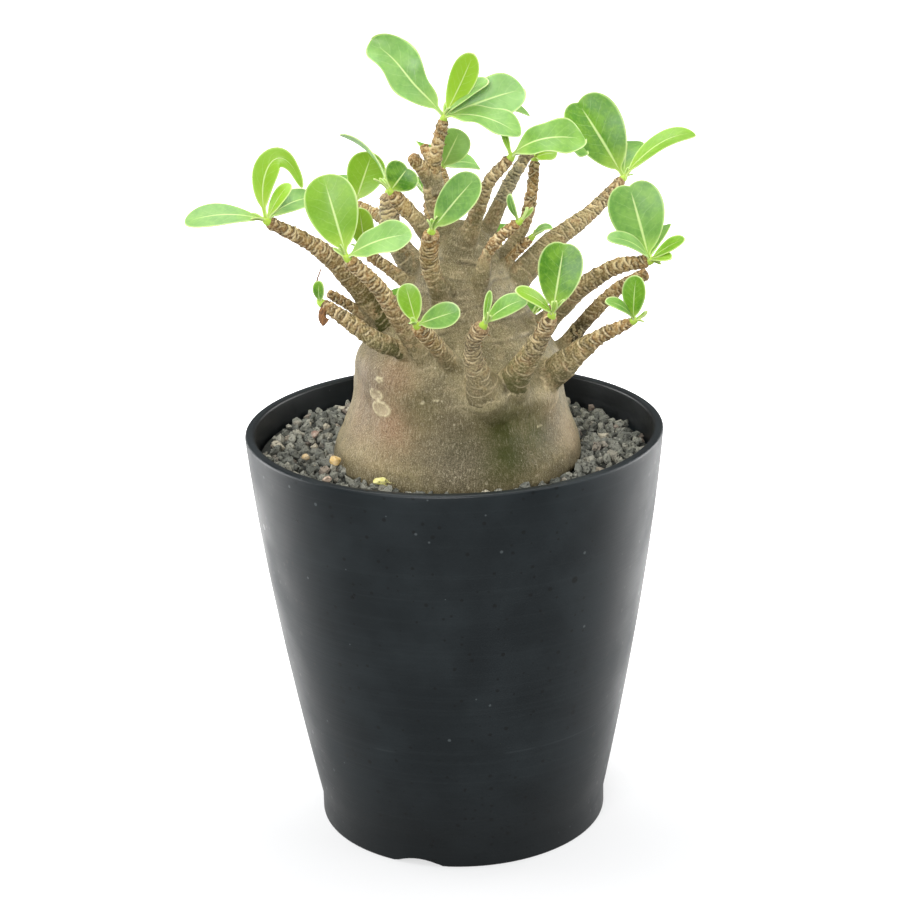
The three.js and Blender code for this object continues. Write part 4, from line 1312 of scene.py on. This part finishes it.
def make_branches(name, branches, material):
    masks = {key: [] for key in (*BARK_MASKS, "share", "name")}
    points, faces = joined([ringed_part(branch, masks) for branch in branches])
    obj = mesh_object(name, points, faces, material)
    share = np.array(masks["share"])
    red, grey, green = (
        np.array([tints.get(name, usual) for name in masks["name"]])
        for tints, usual in ((REDDISH, 0.0), (GREYISH, 0.0), (GREENISH, USUAL_GREEN))
    )
    old = smoothstep(0.9, 0.2, share)
    hidden = np.array([SHADED.get(name, 0.0) for name in masks["name"]])
    # Painted shade: each shaded branch goes dark over its lower part, through the mask of the grooves.
    masks["groove"] = np.maximum(masks["groove"], hidden * smoothstep(0.65, 0.2, share))
    tints = {
        "ringed": smoothstep(0.0, 0.5, share),
        "reddish": np.maximum(red, 0.45 * smoothstep(0.7, 1, share)),
        "greyish": np.maximum(grey, 0.4 * old),
        "moss": green * old,
    }
    for key in BARK_MASKS:
        store(obj.data, key, masks[key])
    for key in SKIN_MASKS:
        store(obj.data, key, tints.get(key, np.zeros(len(points))))
    smooth(obj.data)
    place_piece(obj, "bark", "caudex")


# ---- Caudex ----

def profile_curve(rows):
    """Radius and height down the caudex's profile, in metres."""
    points = np.array(CAUDEX_PROFILE, float) * MM
    padded = np.vstack([points[:1], points, points[-1:]])
    t = np.linspace(0, len(points) - 1, rows)
    cell = np.minimum(t.astype(int), len(points) - 2)
    f = (t - cell)[:, None]
    p0, p1, p2, p3 = (padded[cell + i] for i in range(4))
    return p1 + 0.5 * f * (p2 - p0 + f * (2 * p0 - 5 * p1 + 4 * p2 - p3 + f * (3 * (p1 - p2) + p3 - p0)))


def trunk_body():
    rings = []
    angles = evenly_round(TRUNK_SIDES)
    for radius, height in profile_curve(TRUNK_ROWS):
        lean = CAUDEX_LEAN * max(height - SOIL_LINE, 0) / (CAUDEX_TOP - SOIL_LINE)
        z = height / MM
        folds = np.sin(3 * angles + 0.6) + 0.6 * np.sin(7 * angles + z / 14)
        reach = radius + smoothstep(*FOLD_START, z) * FOLD_RELIEF * folds
        for level, facing, bulge, spread, narrow in BULGES:
            lobe = np.maximum(np.cos(angles - math.radians(facing)), 0) ** narrow
            reach += bulge * MM * lobe * bell(z, level, spread)
        rings.append(np.stack([
            CAUDEX_CENTRE[0] + lean + reach * np.cos(angles),
            CAUDEX_CENTRE[1] + reach * np.sin(angles),
            np.full(TRUNK_SIDES, height),
        ], 1))
    return loft(np.array(rings))


def mesh_arrays(mesh):
    """A mesh's points, edges and triangles."""
    mesh.calc_loop_triangles()
    points = np.empty(len(mesh.vertices) * 3)
    edges = np.empty(len(mesh.edges) * 2, int)
    triangles = np.empty(len(mesh.loop_triangles) * 3, int)
    mesh.vertices.foreach_get("co", points)
    mesh.edges.foreach_get("vertices", edges)
    mesh.loop_triangles.foreach_get("vertices", triangles)
    return points.reshape(-1, 3), edges.reshape(-1, 2), triangles.reshape(-1, 3)


def normals_of(points, triangles):
    a, b, c = (points[triangles[:, i]] for i in range(3))
    facing = np.cross(b - a, c - a)
    total = np.zeros_like(points)
    for corner in range(3):
        np.add.at(total, triangles[:, corner], facing)
    return unit(total)


def fill_creases(points, edges, triangles):
    """Draws hollow corners outwards, so that branches run into the trunk in soft curves."""
    degree = np.bincount(edges.ravel(), minlength=len(points))[:, None]
    share = np.ones(len(points))
    for place, reach in OPEN_CREASES:
        share -= np.exp(-((np.linalg.norm(points / MM - place, axis=1) / reach) ** 4))
    for _ in range(CREASE_ROUNDS):
        normals = normals_of(points, triangles)
        total = np.zeros_like(points)
        np.add.at(total, edges[:, 0], points[edges[:, 1]])
        np.add.at(total, edges[:, 1], points[edges[:, 0]])
        rise = ((total / degree - points) * normals).sum(1)
        points = points + normals * (share * np.maximum(rise - CREASE_FLOOR, 0))[:, None]
    return points


def nearest_branches(points, branches):
    """For each point: which branch is nearest, how far along it, at what angle, and how far off."""
    steps = []
    for number, branch in enumerate(branches):
        steps += [(number, step) for step in range(0, len(branch.at), 2)]
    tree = KDTree(len(steps))
    for index, (number, step) in enumerate(steps):
        tree.insert(branches[number].centre[step], index)
    tree.balance()
    found = np.array([steps[tree.find(point)[1]] for point in points])
    angle = np.empty(len(points))
    at = np.empty(len(points))
    off = np.empty(len(points))
    for number, branch in enumerate(branches):
        mine = found[:, 0] == number
        step = found[mine, 1]
        away = points[mine] - branch.centre[step]
        angle[mine] = np.arctan2((away * branch.along[step]).sum(1), (away * branch.across[step]).sum(1))
        at[mine] = branch.at[step] + (away * branch.tangent[step]).sum(1)
        radial = away - branch.tangent[step] * (at[mine] - branch.at[step])[:, None]
        off[mine] = np.linalg.norm(radial, axis=1) / branch.radius(branch.at[step])
    return found[:, 0], at, angle, off


def neck_folds(points, lumps):
    """The ring-like creases round the neck, and the low lips over them."""
    z = points[:, 2] / MM
    turn = np.arctan2(points[:, 1], points[:, 0])
    broken = ripple(points, 7 * MM, 2)
    crease, lip = np.zeros(len(points)), np.zeros(len(points))
    for level, depth, facing in NECK_CREASES:
        wander = level + 1.3 * np.sin(2.3 * turn + level) + 0.6 * lumps
        near = np.cos(turn - math.radians(facing)) * 0.5 + 0.5
        near = near * smoothstep(-0.2, 0.3, broken * np.sin(level))
        crease += depth * near * bell(z, wander, 0.55)
        lip += near * bell(z, wander + 0.9, 0.45)
    return crease, lip


def old_scars(points, lumps, fine):
    """How pale and how raised the skin is at the round scars on the trunk."""
    scar, edge = np.zeros(len(points)), np.zeros(len(points))
    for place, size in TRUNK_SCARS:
        away = (points / MM - place) * SCAR_OVAL
        reach = np.linalg.norm(away, axis=1) / size + 0.12 * lumps
        inside = smoothstep(1, 0.85, reach) * (0.28 + 0.2 * fine)
        scar = np.maximum(scar, np.maximum(0.85 * bell(reach, 0.88, 0.12), inside))
        edge += bell(reach, 0.85, 0.2)
    return scar, edge


def make_caudex(branches, material):
    """The trunk and the feet of its branches, grown together into one skin."""
    rough = mesh_object("rough_caudex", *joined([trunk_body(), *[stub(branch) for branch in branches]]))
    remesh = rough.modifiers.new("one_skin", "REMESH")
    remesh.mode = "VOXEL"
    remesh.voxel_size = SKIN_VOXEL
    caudex = converted(rough, "caudex")
    points, edges, triangles = mesh_arrays(caudex.data)
    points = fill_creases(points, edges, triangles)
    normals = normals_of(points, triangles)
    number, at, angle, off = nearest_branches(points, branches)

    on_branch = smoothstep(1.45, 1.12, off) * smoothstep(-1 * MM, 2 * MM, at)
    skirt = smoothstep(2, 1.3, off) * smoothstep(-SKIRT, 0, at)
    marks = {key: np.zeros(len(points)) for key in ("height", *BARK_MASKS)}
    for index, branch in enumerate(branches):
        mine = number == index
        for key, values in branch.bark(at[mine], angle[mine]).items():
            marks[key][mine] = values
    lumps = ripple(points, LUMP_SIZE)
    fine = ripple(points * [1, 1, 0.5], SKIN_GRAIN, 2)
    z = points[:, 2] / MM
    bare = 1 - on_branch
    crease, lip = neck_folds(points, lumps)
    scar, edge = old_scars(points, lumps, fine)
    lift = np.maximum(on_branch, 0.5 * skirt) * marks["height"]
    lift += LUMP_RELIEF * lumps * smoothstep(143, 150, z) + SKIN_GRAIN_RELIEF * fine
    lift += (LIP_RELIEF * lip - MM * crease) * bare + EDGE_RELIEF * edge

    grown = on_branch * smoothstep(1 * MM, 11 * MM, at)
    rim = marks["rim"] * np.maximum(0.9 * on_branch, 0.45 * skirt)
    masks = {name: np.zeros(len(points)) for name in SKIN_MASKS}
    masks |= {
        "moss": 0.06 + 0.14 * np.maximum(grown, 0.7 * skirt),
        "greyish": 0.2 + 0.1 * on_branch,
        "dusty": 0.65 * smoothstep(*FOOT_DUST, z),
        "rim": np.maximum(rim, 0.25 * lip * bare),
        # Painted shade darkens the neck's creases, over their real relief, beside the grooves of the branch
        # feet.
        "groove": np.maximum(marks["groove"] * skirt * 0.6, np.clip(crease * bare * 1.6, 0, 0.85)),
        "shade": 0.5 + (marks["shade"] - 0.5) * on_branch,
        "ringed": grown * 0.75,
        "scar": scar,
    }
    points = points + normals * lift[:, None]
    for kind, tints in SKIN_TINTS.items():
        for place, spread, strength in tints:
            away = np.linalg.norm(points / MM - place, axis=1)
            masks[kind] = np.maximum(masks[kind], strength * bell(away, 0, spread))
    caudex.data.vertices.foreach_set("co", points.ravel())
    caudex.data.update()
    for name, values in masks.items():
        store(caudex.data, name, np.clip(values, 0, 1))
    caudex.data.materials.append(material)
    smooth(caudex.data)
    place_piece(caudex, "bark", "caudex")


# ---- Stipules ----

def stipule_tree():
    """A small dark spike at each point, standing the way that the point's own vector says."""
    tree, given = new_tree("stipules", "GeometryNodeTree", {
        "Geometry": ["Points"], "Float": ["Width"], "Material": ["Material"]}, "Spikes")
    way, reach = (
        add(tree, "GeometryNodeInputNamedAttribute", {"Name": name}, data_type=kind)
        for name, kind in (("way", "FLOAT_VECTOR"), ("reach", "FLOAT"))
    )
    cone = {"Vertices": 5, "Radius Bottom": 1.0, "Radius Top": 0.12, "Depth": 1.0}
    spikes = add(tree, "GeometryNodeInstanceOnPoints", {
        "Points": given["Points"],
        "Instance": add(tree, "GeometryNodeMeshCone", cone),
        "Rotation": add(tree, "FunctionNodeAlignRotationToVector", {"Vector": way}, axis="Z"),
        "Scale": combined(tree, X=given["Width"], Y=given["Width"], Z=reach),
    })
    dress(spikes, given, "Spikes")
    return tree


def make_stipules(branches, material):
    places, ways, reaches = [], [], []
    for branch in branches:
        draw = random.Random(branch.name + " stipules")
        for scar in branch.scars:
            if draw.random() > 0.03 + 0.8 * max(0, scar.at / branch.length) ** 4:
                continue
            step = max(0, min(int(scar.at / BRANCH_STEP), len(branch.at) - 1))
            out = math.cos(scar.angle) * branch.across[step] + math.sin(scar.angle) * branch.along[step]
            way = out + branch.tangent[step] * draw.uniform(0.3, 1)
            places.append(branch.centre[step] + out * (branch.radius(branch.at[step]) + 0.1 * MM))
            ways.append(unit(way))
            reaches.append(draw.uniform(*STIPULE_LENGTHS))
    obj = mesh_object("stipules", places, [])
    way = obj.data.attributes.new("way", "FLOAT_VECTOR", "POINT")
    way.data.foreach_set("vector", np.array(ways, np.float32).ravel())
    store(obj.data, "reach", reaches)
    spikes = run_tree(obj, stipule_tree(), {"Width": STIPULE_WIDTH, "Material": material})
    place_piece(spikes, "bark", "caudex")


# ---- Leaves ----

def half_width(share, wide):
    """Half width of a leaf at a share of its length: a petiole, then a blade widest past its middle."""
    along = np.clip((share - PETIOLE_SHARE) / (1 - PETIOLE_SHARE), 0, 1)
    full = along**BLADE_BASE * (1 - along**BLADE_TIP) ** 0.5
    widest = BLADE_BASE / (BLADE_BASE + BLADE_TIP / 2)
    full /= widest ** (BLADE_BASE / BLADE_TIP) * (1 - widest) ** 0.5
    stalk = np.where(share > 0.5, 0.02 * MM, PETIOLE_WIDTH / 2)
    return np.maximum(stalk, wide / 2 * full)


def bezier(controls, t):
    """Points of a curve that is drawn towards its inner controls."""
    top = len(controls) - 1
    return sum(math.comb(top, k) * (1 - t[:, None]) ** (top - k) * t[:, None] ** k * point
               for k, point in enumerate(controls))


def off_outline(along, half, v):
    """How far each point of a blade is from the blade's outline, measured flat."""
    flat = np.stack([np.broadcast_to(along[:, None], (len(along), v.shape[1])), half * v], -1)
    steps = np.linspace(0, len(along) - 1, OUTLINE_STEPS)
    side = np.stack([np.interp(steps, range(len(along)), values) for values in (along, half[:, 0])], -1)
    end = np.stack([np.full(20, along[-1]), np.linspace(0, half[-1, 0], 20)], -1)
    outline = np.vstack([side, end])
    away = np.abs(flat)[:, :, None] - outline
    return np.linalg.norm(away, axis=-1).min(-1)


def blade(leaf, start, rows=BLADE_ROWS, columns=BLADE_COLUMNS):
    """A thin closed leaf: points, faces, each point's place along and across it, and its distance
    from the outline."""
    tip = np.array(leaf.to) * MM
    face = unit(np.array(leaf.face, float))
    drawn = np.array(leaf.over) * MM if leaf.over else [(start + tip) / 2 + face * 2 * leaf.bow * MM]
    t = np.sin(np.linspace(0, 1, rows) * math.pi / 2) ** 1.25
    line = bezier([start, *drawn, tip], np.minimum(t, 1))
    run = run_along(line)
    share = run / run[-1]
    tangent = unit(np.gradient(line, run, axis=0))
    up = unit(face - tangent * (tangent @ face)[:, None])
    side = np.cross(up, tangent)

    v = np.sin(np.linspace(-1, 1, columns + 1) * math.pi / 2)[None, :]
    half = (half_width(share, leaf.wide * MM) * (1 - leaf.narrow * smoothstep(0.4, 0.85, share)))[:, None]
    sway = np.cos(math.tau * (share - 0.33) / WAVE_PERIOD) * smoothstep(0.12, 0.4, share)
    natural = 0.035 * np.sin(9 * share + 3 * leaf.tone + leaf.wide)[:, None] * half * v
    lift = leaf.fold * half * np.abs(v) ** 1.4 + leaf.wave * MM * sway[:, None] * v * np.abs(v) + natural
    off_rib = np.abs(half * v) / (leaf.wide * MM / 2)
    draw_back = -leaf.notch * MM * smoothstep(0.72, 1, share)[:, None] * np.clip(1 - off_rib, 0, 1) ** 3
    swing = leaf.ruffle * half * np.sin(math.tau * 1.4 * (share - 0.2))[:, None] * (0.3 + 0.7 * np.abs(v))
    middle = line[:, None] + side[:, None] * (half * v + swing)[..., None]
    middle = middle + up[:, None] * lift[..., None] + tangent[:, None] * draw_back[..., None]
    thick = LEAF_THICKNESS / 2 * (1 - 0.55 * v**2) * (1 + 0.5 * smoothstep(0.3, 0, share))[:, None]
    thick = up[:, None] * thick[..., None]
    points = np.concatenate([sheet.reshape(-1, 3) for sheet in (middle + thick, middle - thick)])
    spread = np.stack(np.broadcast_arrays(share[:, None], (v + 1) / 2), -1).reshape(-1, 2)
    inset = off_outline(run, half, v).ravel()
    return points, blade_faces(rows, columns + 1), np.tile(spread, (2, 1)), np.tile(inset, 2)


def blade_faces(rows, columns):
    """Quads of the upper and the lower sheet, and of the rim that joins them."""
    under = rows * columns
    faces = []
    for row in range(rows - 1):
        for column in range(columns - 1):
            a = row * columns + column
            b = a + columns
            faces.append((a, a + 1, b + 1, b))
            faces.append((under + a, under + b, under + b + 1, under + a + 1))
        left, right = row * columns, row * columns + columns - 1
        faces.append((left, left + columns, under + left + columns, under + left))
        faces.append((right, under + right, under + right + columns, right + columns))
    last = (rows - 1) * columns
    for column in range(columns - 1):
        faces.append((column, under + column, under + column + 1, column + 1))
        faces.append((last + column, last + column + 1, under + last + column + 1, under + last + column))
    return faces


def shoot(direction, radius):
    """The green shoot that stands on a branch's tip and holds the petioles."""
    across = unit(np.cross(direction, [0.2, 0.4, 1.0]))
    along = np.cross(direction, across)
    angles = evenly_round(SHOOT_SIDES)[:, None]
    rings = []
    for height, reach in SHOOT_RINGS:
        wobble = 1 + 0.07 * np.sin(3 * angles + 5 * height)
        out = spokes(angles, across, along) * radius * reach * wobble
        rings.append(direction * height * SHOOT_HEIGHT + out)
    return loft(np.array(rings))


def bud_leaves(name, direction):
    """A few tiny unopened leaves round the top of a shoot."""
    draw = random.Random(name + " buds")
    buds = []
    for _ in range(BUDS):
        spread = np.array(random_way(draw))
        reach = direction * draw.uniform(5.5, 8) + spread * 2.2
        face = direction - spread
        buds.append(Leaf(tuple(reach), draw.uniform(1.3, 2.2), tuple(face), 0.3, tone=draw.uniform(0.4, 1)))
    return buds


def make_leaves(branches, material):
    for branch in branches:
        if branch.name not in LEAVES:
            continue
        tip, direction = branch.centre[-1], branch.tangent[-1]
        start = direction * SHOOT_HEIGHT * 0.45
        green = shoot(direction, min(branch.radii[-1] * 0.72, SHOOT_RADIUS))
        count = len(green[0])
        plain = Leaf((), 0, (), tone=SHOOT_TONE)
        bodies = [(*green, np.tile([0.0, 0.9], (count, 1)), np.full(count, 1.0), plain)]
        bodies += [(*blade(leaf, start), leaf) for leaf in LEAVES[branch.name]]
        if branch.name not in DRY_TIPS:
            buds = bud_leaves(branch.name, direction)
            bodies += [(*blade(leaf, start, *BUD_GRID), leaf) for leaf in buds]
        points, faces = joined([body[:2] for body in bodies])
        obj = mesh_object(f"leaves_on_{branch.name}", points + tip, faces, material)
        for key in ("tone", "bloom"):
            values = [np.full(len(body[0]), getattr(body[4], key)) for body in bodies]
            store(obj.data, key, np.concatenate(values))
        inset = np.concatenate([body[3] for body in bodies])
        store(obj.data, "margin", smoothstep(*MARGIN, inset))
        spread = np.concatenate([body[2] for body in bodies])
        layer = obj.data.uv_layers.new(name="blade")
        corners = np.empty(len(obj.data.loops), int)
        obj.data.loops.foreach_get("vertex_index", corners)
        layer.data.foreach_set("uv", spread[corners].astype(np.float32).ravel())
        smooth(obj.data, LEAF_CREASE)
        place_piece(obj, "leaf", f"leaves_{branch.name}")


# ---- Dry bits ----

def rod(route, radii):
    """A thin body along a route in millimetres, whose radius changes evenly from root to tip."""
    line = through(route, 10)
    tangent = unit(np.gradient(line, axis=0))
    across = unit(np.cross(tangent, SIDEWAYS))
    along = np.cross(tangent, across)
    angles = evenly_round(ROD_SIDES)[None, :, None]
    width = np.linspace(*radii, len(line))[:, None, None]
    rings = line[:, None] + width * spokes(angles, across[:, None], along[:, None])
    return loft(rings[:, ::-1] * MM)


def make_dry_bits(material):
    """A dried, curled leaf and a bare leaf stalk on the lowest left branch."""
    points, faces = joined([rod(route, radii) for route, radii in DRY_BITS])
    points += 0.25 * MM * ripple(points, 1.4 * MM, 2)[:, None]
    bits = mesh_object("dry_curl", points, faces, material)
    smooth(bits.data)
    place_piece(bits, "bark", "caudex")


# ---- Studio ----

CAMERA_BACK = 0.8003
CAMERA_HEIGHT = 0.41547
CAMERA_PITCH = 0.3311
CAMERA_ROLL = -0.0266
CAMERA_TURN = 0.0021
FRAME_PIXELS = 900
FOCAL_PIXELS = 2346.2
SENSOR = 36.0
CAMERA_REACH = 50
WORLD_LIGHT = 0.22
FLOOR_LIFT = 0.6
FLOOR_GLOW = 0.8
FLOOR_REACH = 20
LIT_PLACE = (0, 0, 0.18)
SOFTBOXES = {  # place, size and power of each
    "top_softbox": ((-0.1, 0.1, 1.3), (1.2, 1), 14),
    "front_softbox": ((-0.3, -1.3, 0.8), (0.8, 0.6), 18),
    "left_softbox": ((-1.2, 0.5, 0.33), (1.1, 0.75), 16),
    "right_softbox": ((1.2, 0.5, 0.33), (1.1, 0.75), 17),
    "right_fill": ((0.9, -0.5, 0.9), (0.5, 0.5), 3.5),
}


def make_camera():
    data = bpy.data.cameras.new("camera")
    data.sensor_width = SENSOR
    data.lens = FOCAL_PIXELS * SENSOR / FRAME_PIXELS
    data.clip_end = CAMERA_REACH
    camera = link(bpy.data.objects.new("camera", data))
    tilt = Matrix.Rotation(math.pi / 2 - CAMERA_PITCH, 4, "X")
    turn = Matrix.Rotation(CAMERA_TURN, 4, "Z")
    roll = Matrix.Rotation(CAMERA_ROLL, 4, "Z")
    camera.matrix_world = Matrix.Translation((0, -CAMERA_BACK, CAMERA_HEIGHT)) @ turn @ tilt @ roll
    bpy.context.scene.camera = camera


def softbox(name, place, size, power):
    data = bpy.data.lights.new(name, "AREA")
    data.shape = "RECTANGLE"
    data.size, data.size_y = size
    data.energy = power
    light = link(bpy.data.objects.new(name, data))
    light.location = place
    light.rotation_euler = (Vector(LIT_PLACE) - Vector(place)).to_track_quat("-Z", "Y").to_euler()


def make_floor():
    """A pale floor, darker in front, that the camera and the pot's shiny flanks see lifted to white."""
    material, tree, shader = new_material(
        "pale_floor", Roughness=0.9, Specular_IOR_Level=0.1, Emission_Color=(1, 1, 1, 1))
    place = own_place(tree)
    _, depth, _ = axes(place)
    seen = add(tree, "ShaderNodeLightPath")
    lifted = seen["Is Camera Ray"] * between(length(place), 0.06, 0.4, FLOOR_LIFT, 1.0)
    glow = seen["Is Glossy Ray"] * between(depth, -0.12, 0.12, 0.0, FLOOR_GLOW)
    tint = blend(between(depth, -0.05, 0.2), "969798", "f6f6f6")
    feed(shader, Base_Color=tint, Emission_Strength=calc("MAXIMUM", lifted, glow))
    corners = [(x * FLOOR_REACH, y * FLOOR_REACH, 0) for x, y in ((-1, -1), (1, -1), (1, 1), (-1, 1))]
    mesh_object("floor", corners, [(0, 1, 2, 3)], material)


def make_studio():
    scene = bpy.context.scene
    scene.view_settings.view_transform = "Standard"
    scene.world = bpy.data.worlds.new("studio")
    scene.world.use_nodes = True
    tree = scene.world.node_tree
    background = tree.nodes["Background"]
    background.inputs["Color"].default_value = (1, 1, 1, 1)
    seen = add(tree, "ShaderNodeLightPath", out="Is Camera Ray")
    feed(background, Strength=calc("MAXIMUM", seen, WORLD_LIGHT))
    for name, (place, size, power) in SOFTBOXES.items():
        softbox(name, place, size, power)
    make_floor()
    make_camera()


# ---- Assembly ----

make_studio()
make_pot()
make_gravel()
make_loose_stones()
branches = [Branch(name, radius, route) for name, (radius, route) in BRANCHES.items()]
bark_material = bark()
make_caudex(branches, bark_material)
for side in ("left", "right", "back"):
    group = [branch for branch in branches if branch.side() == side]
    make_branches(f"{side}_branches", group, bark_material)
husk_material = dry_husk()
make_stipules(branches, husk_material)
make_dry_bits(husk_material)
make_leaves(branches, leaf_green())
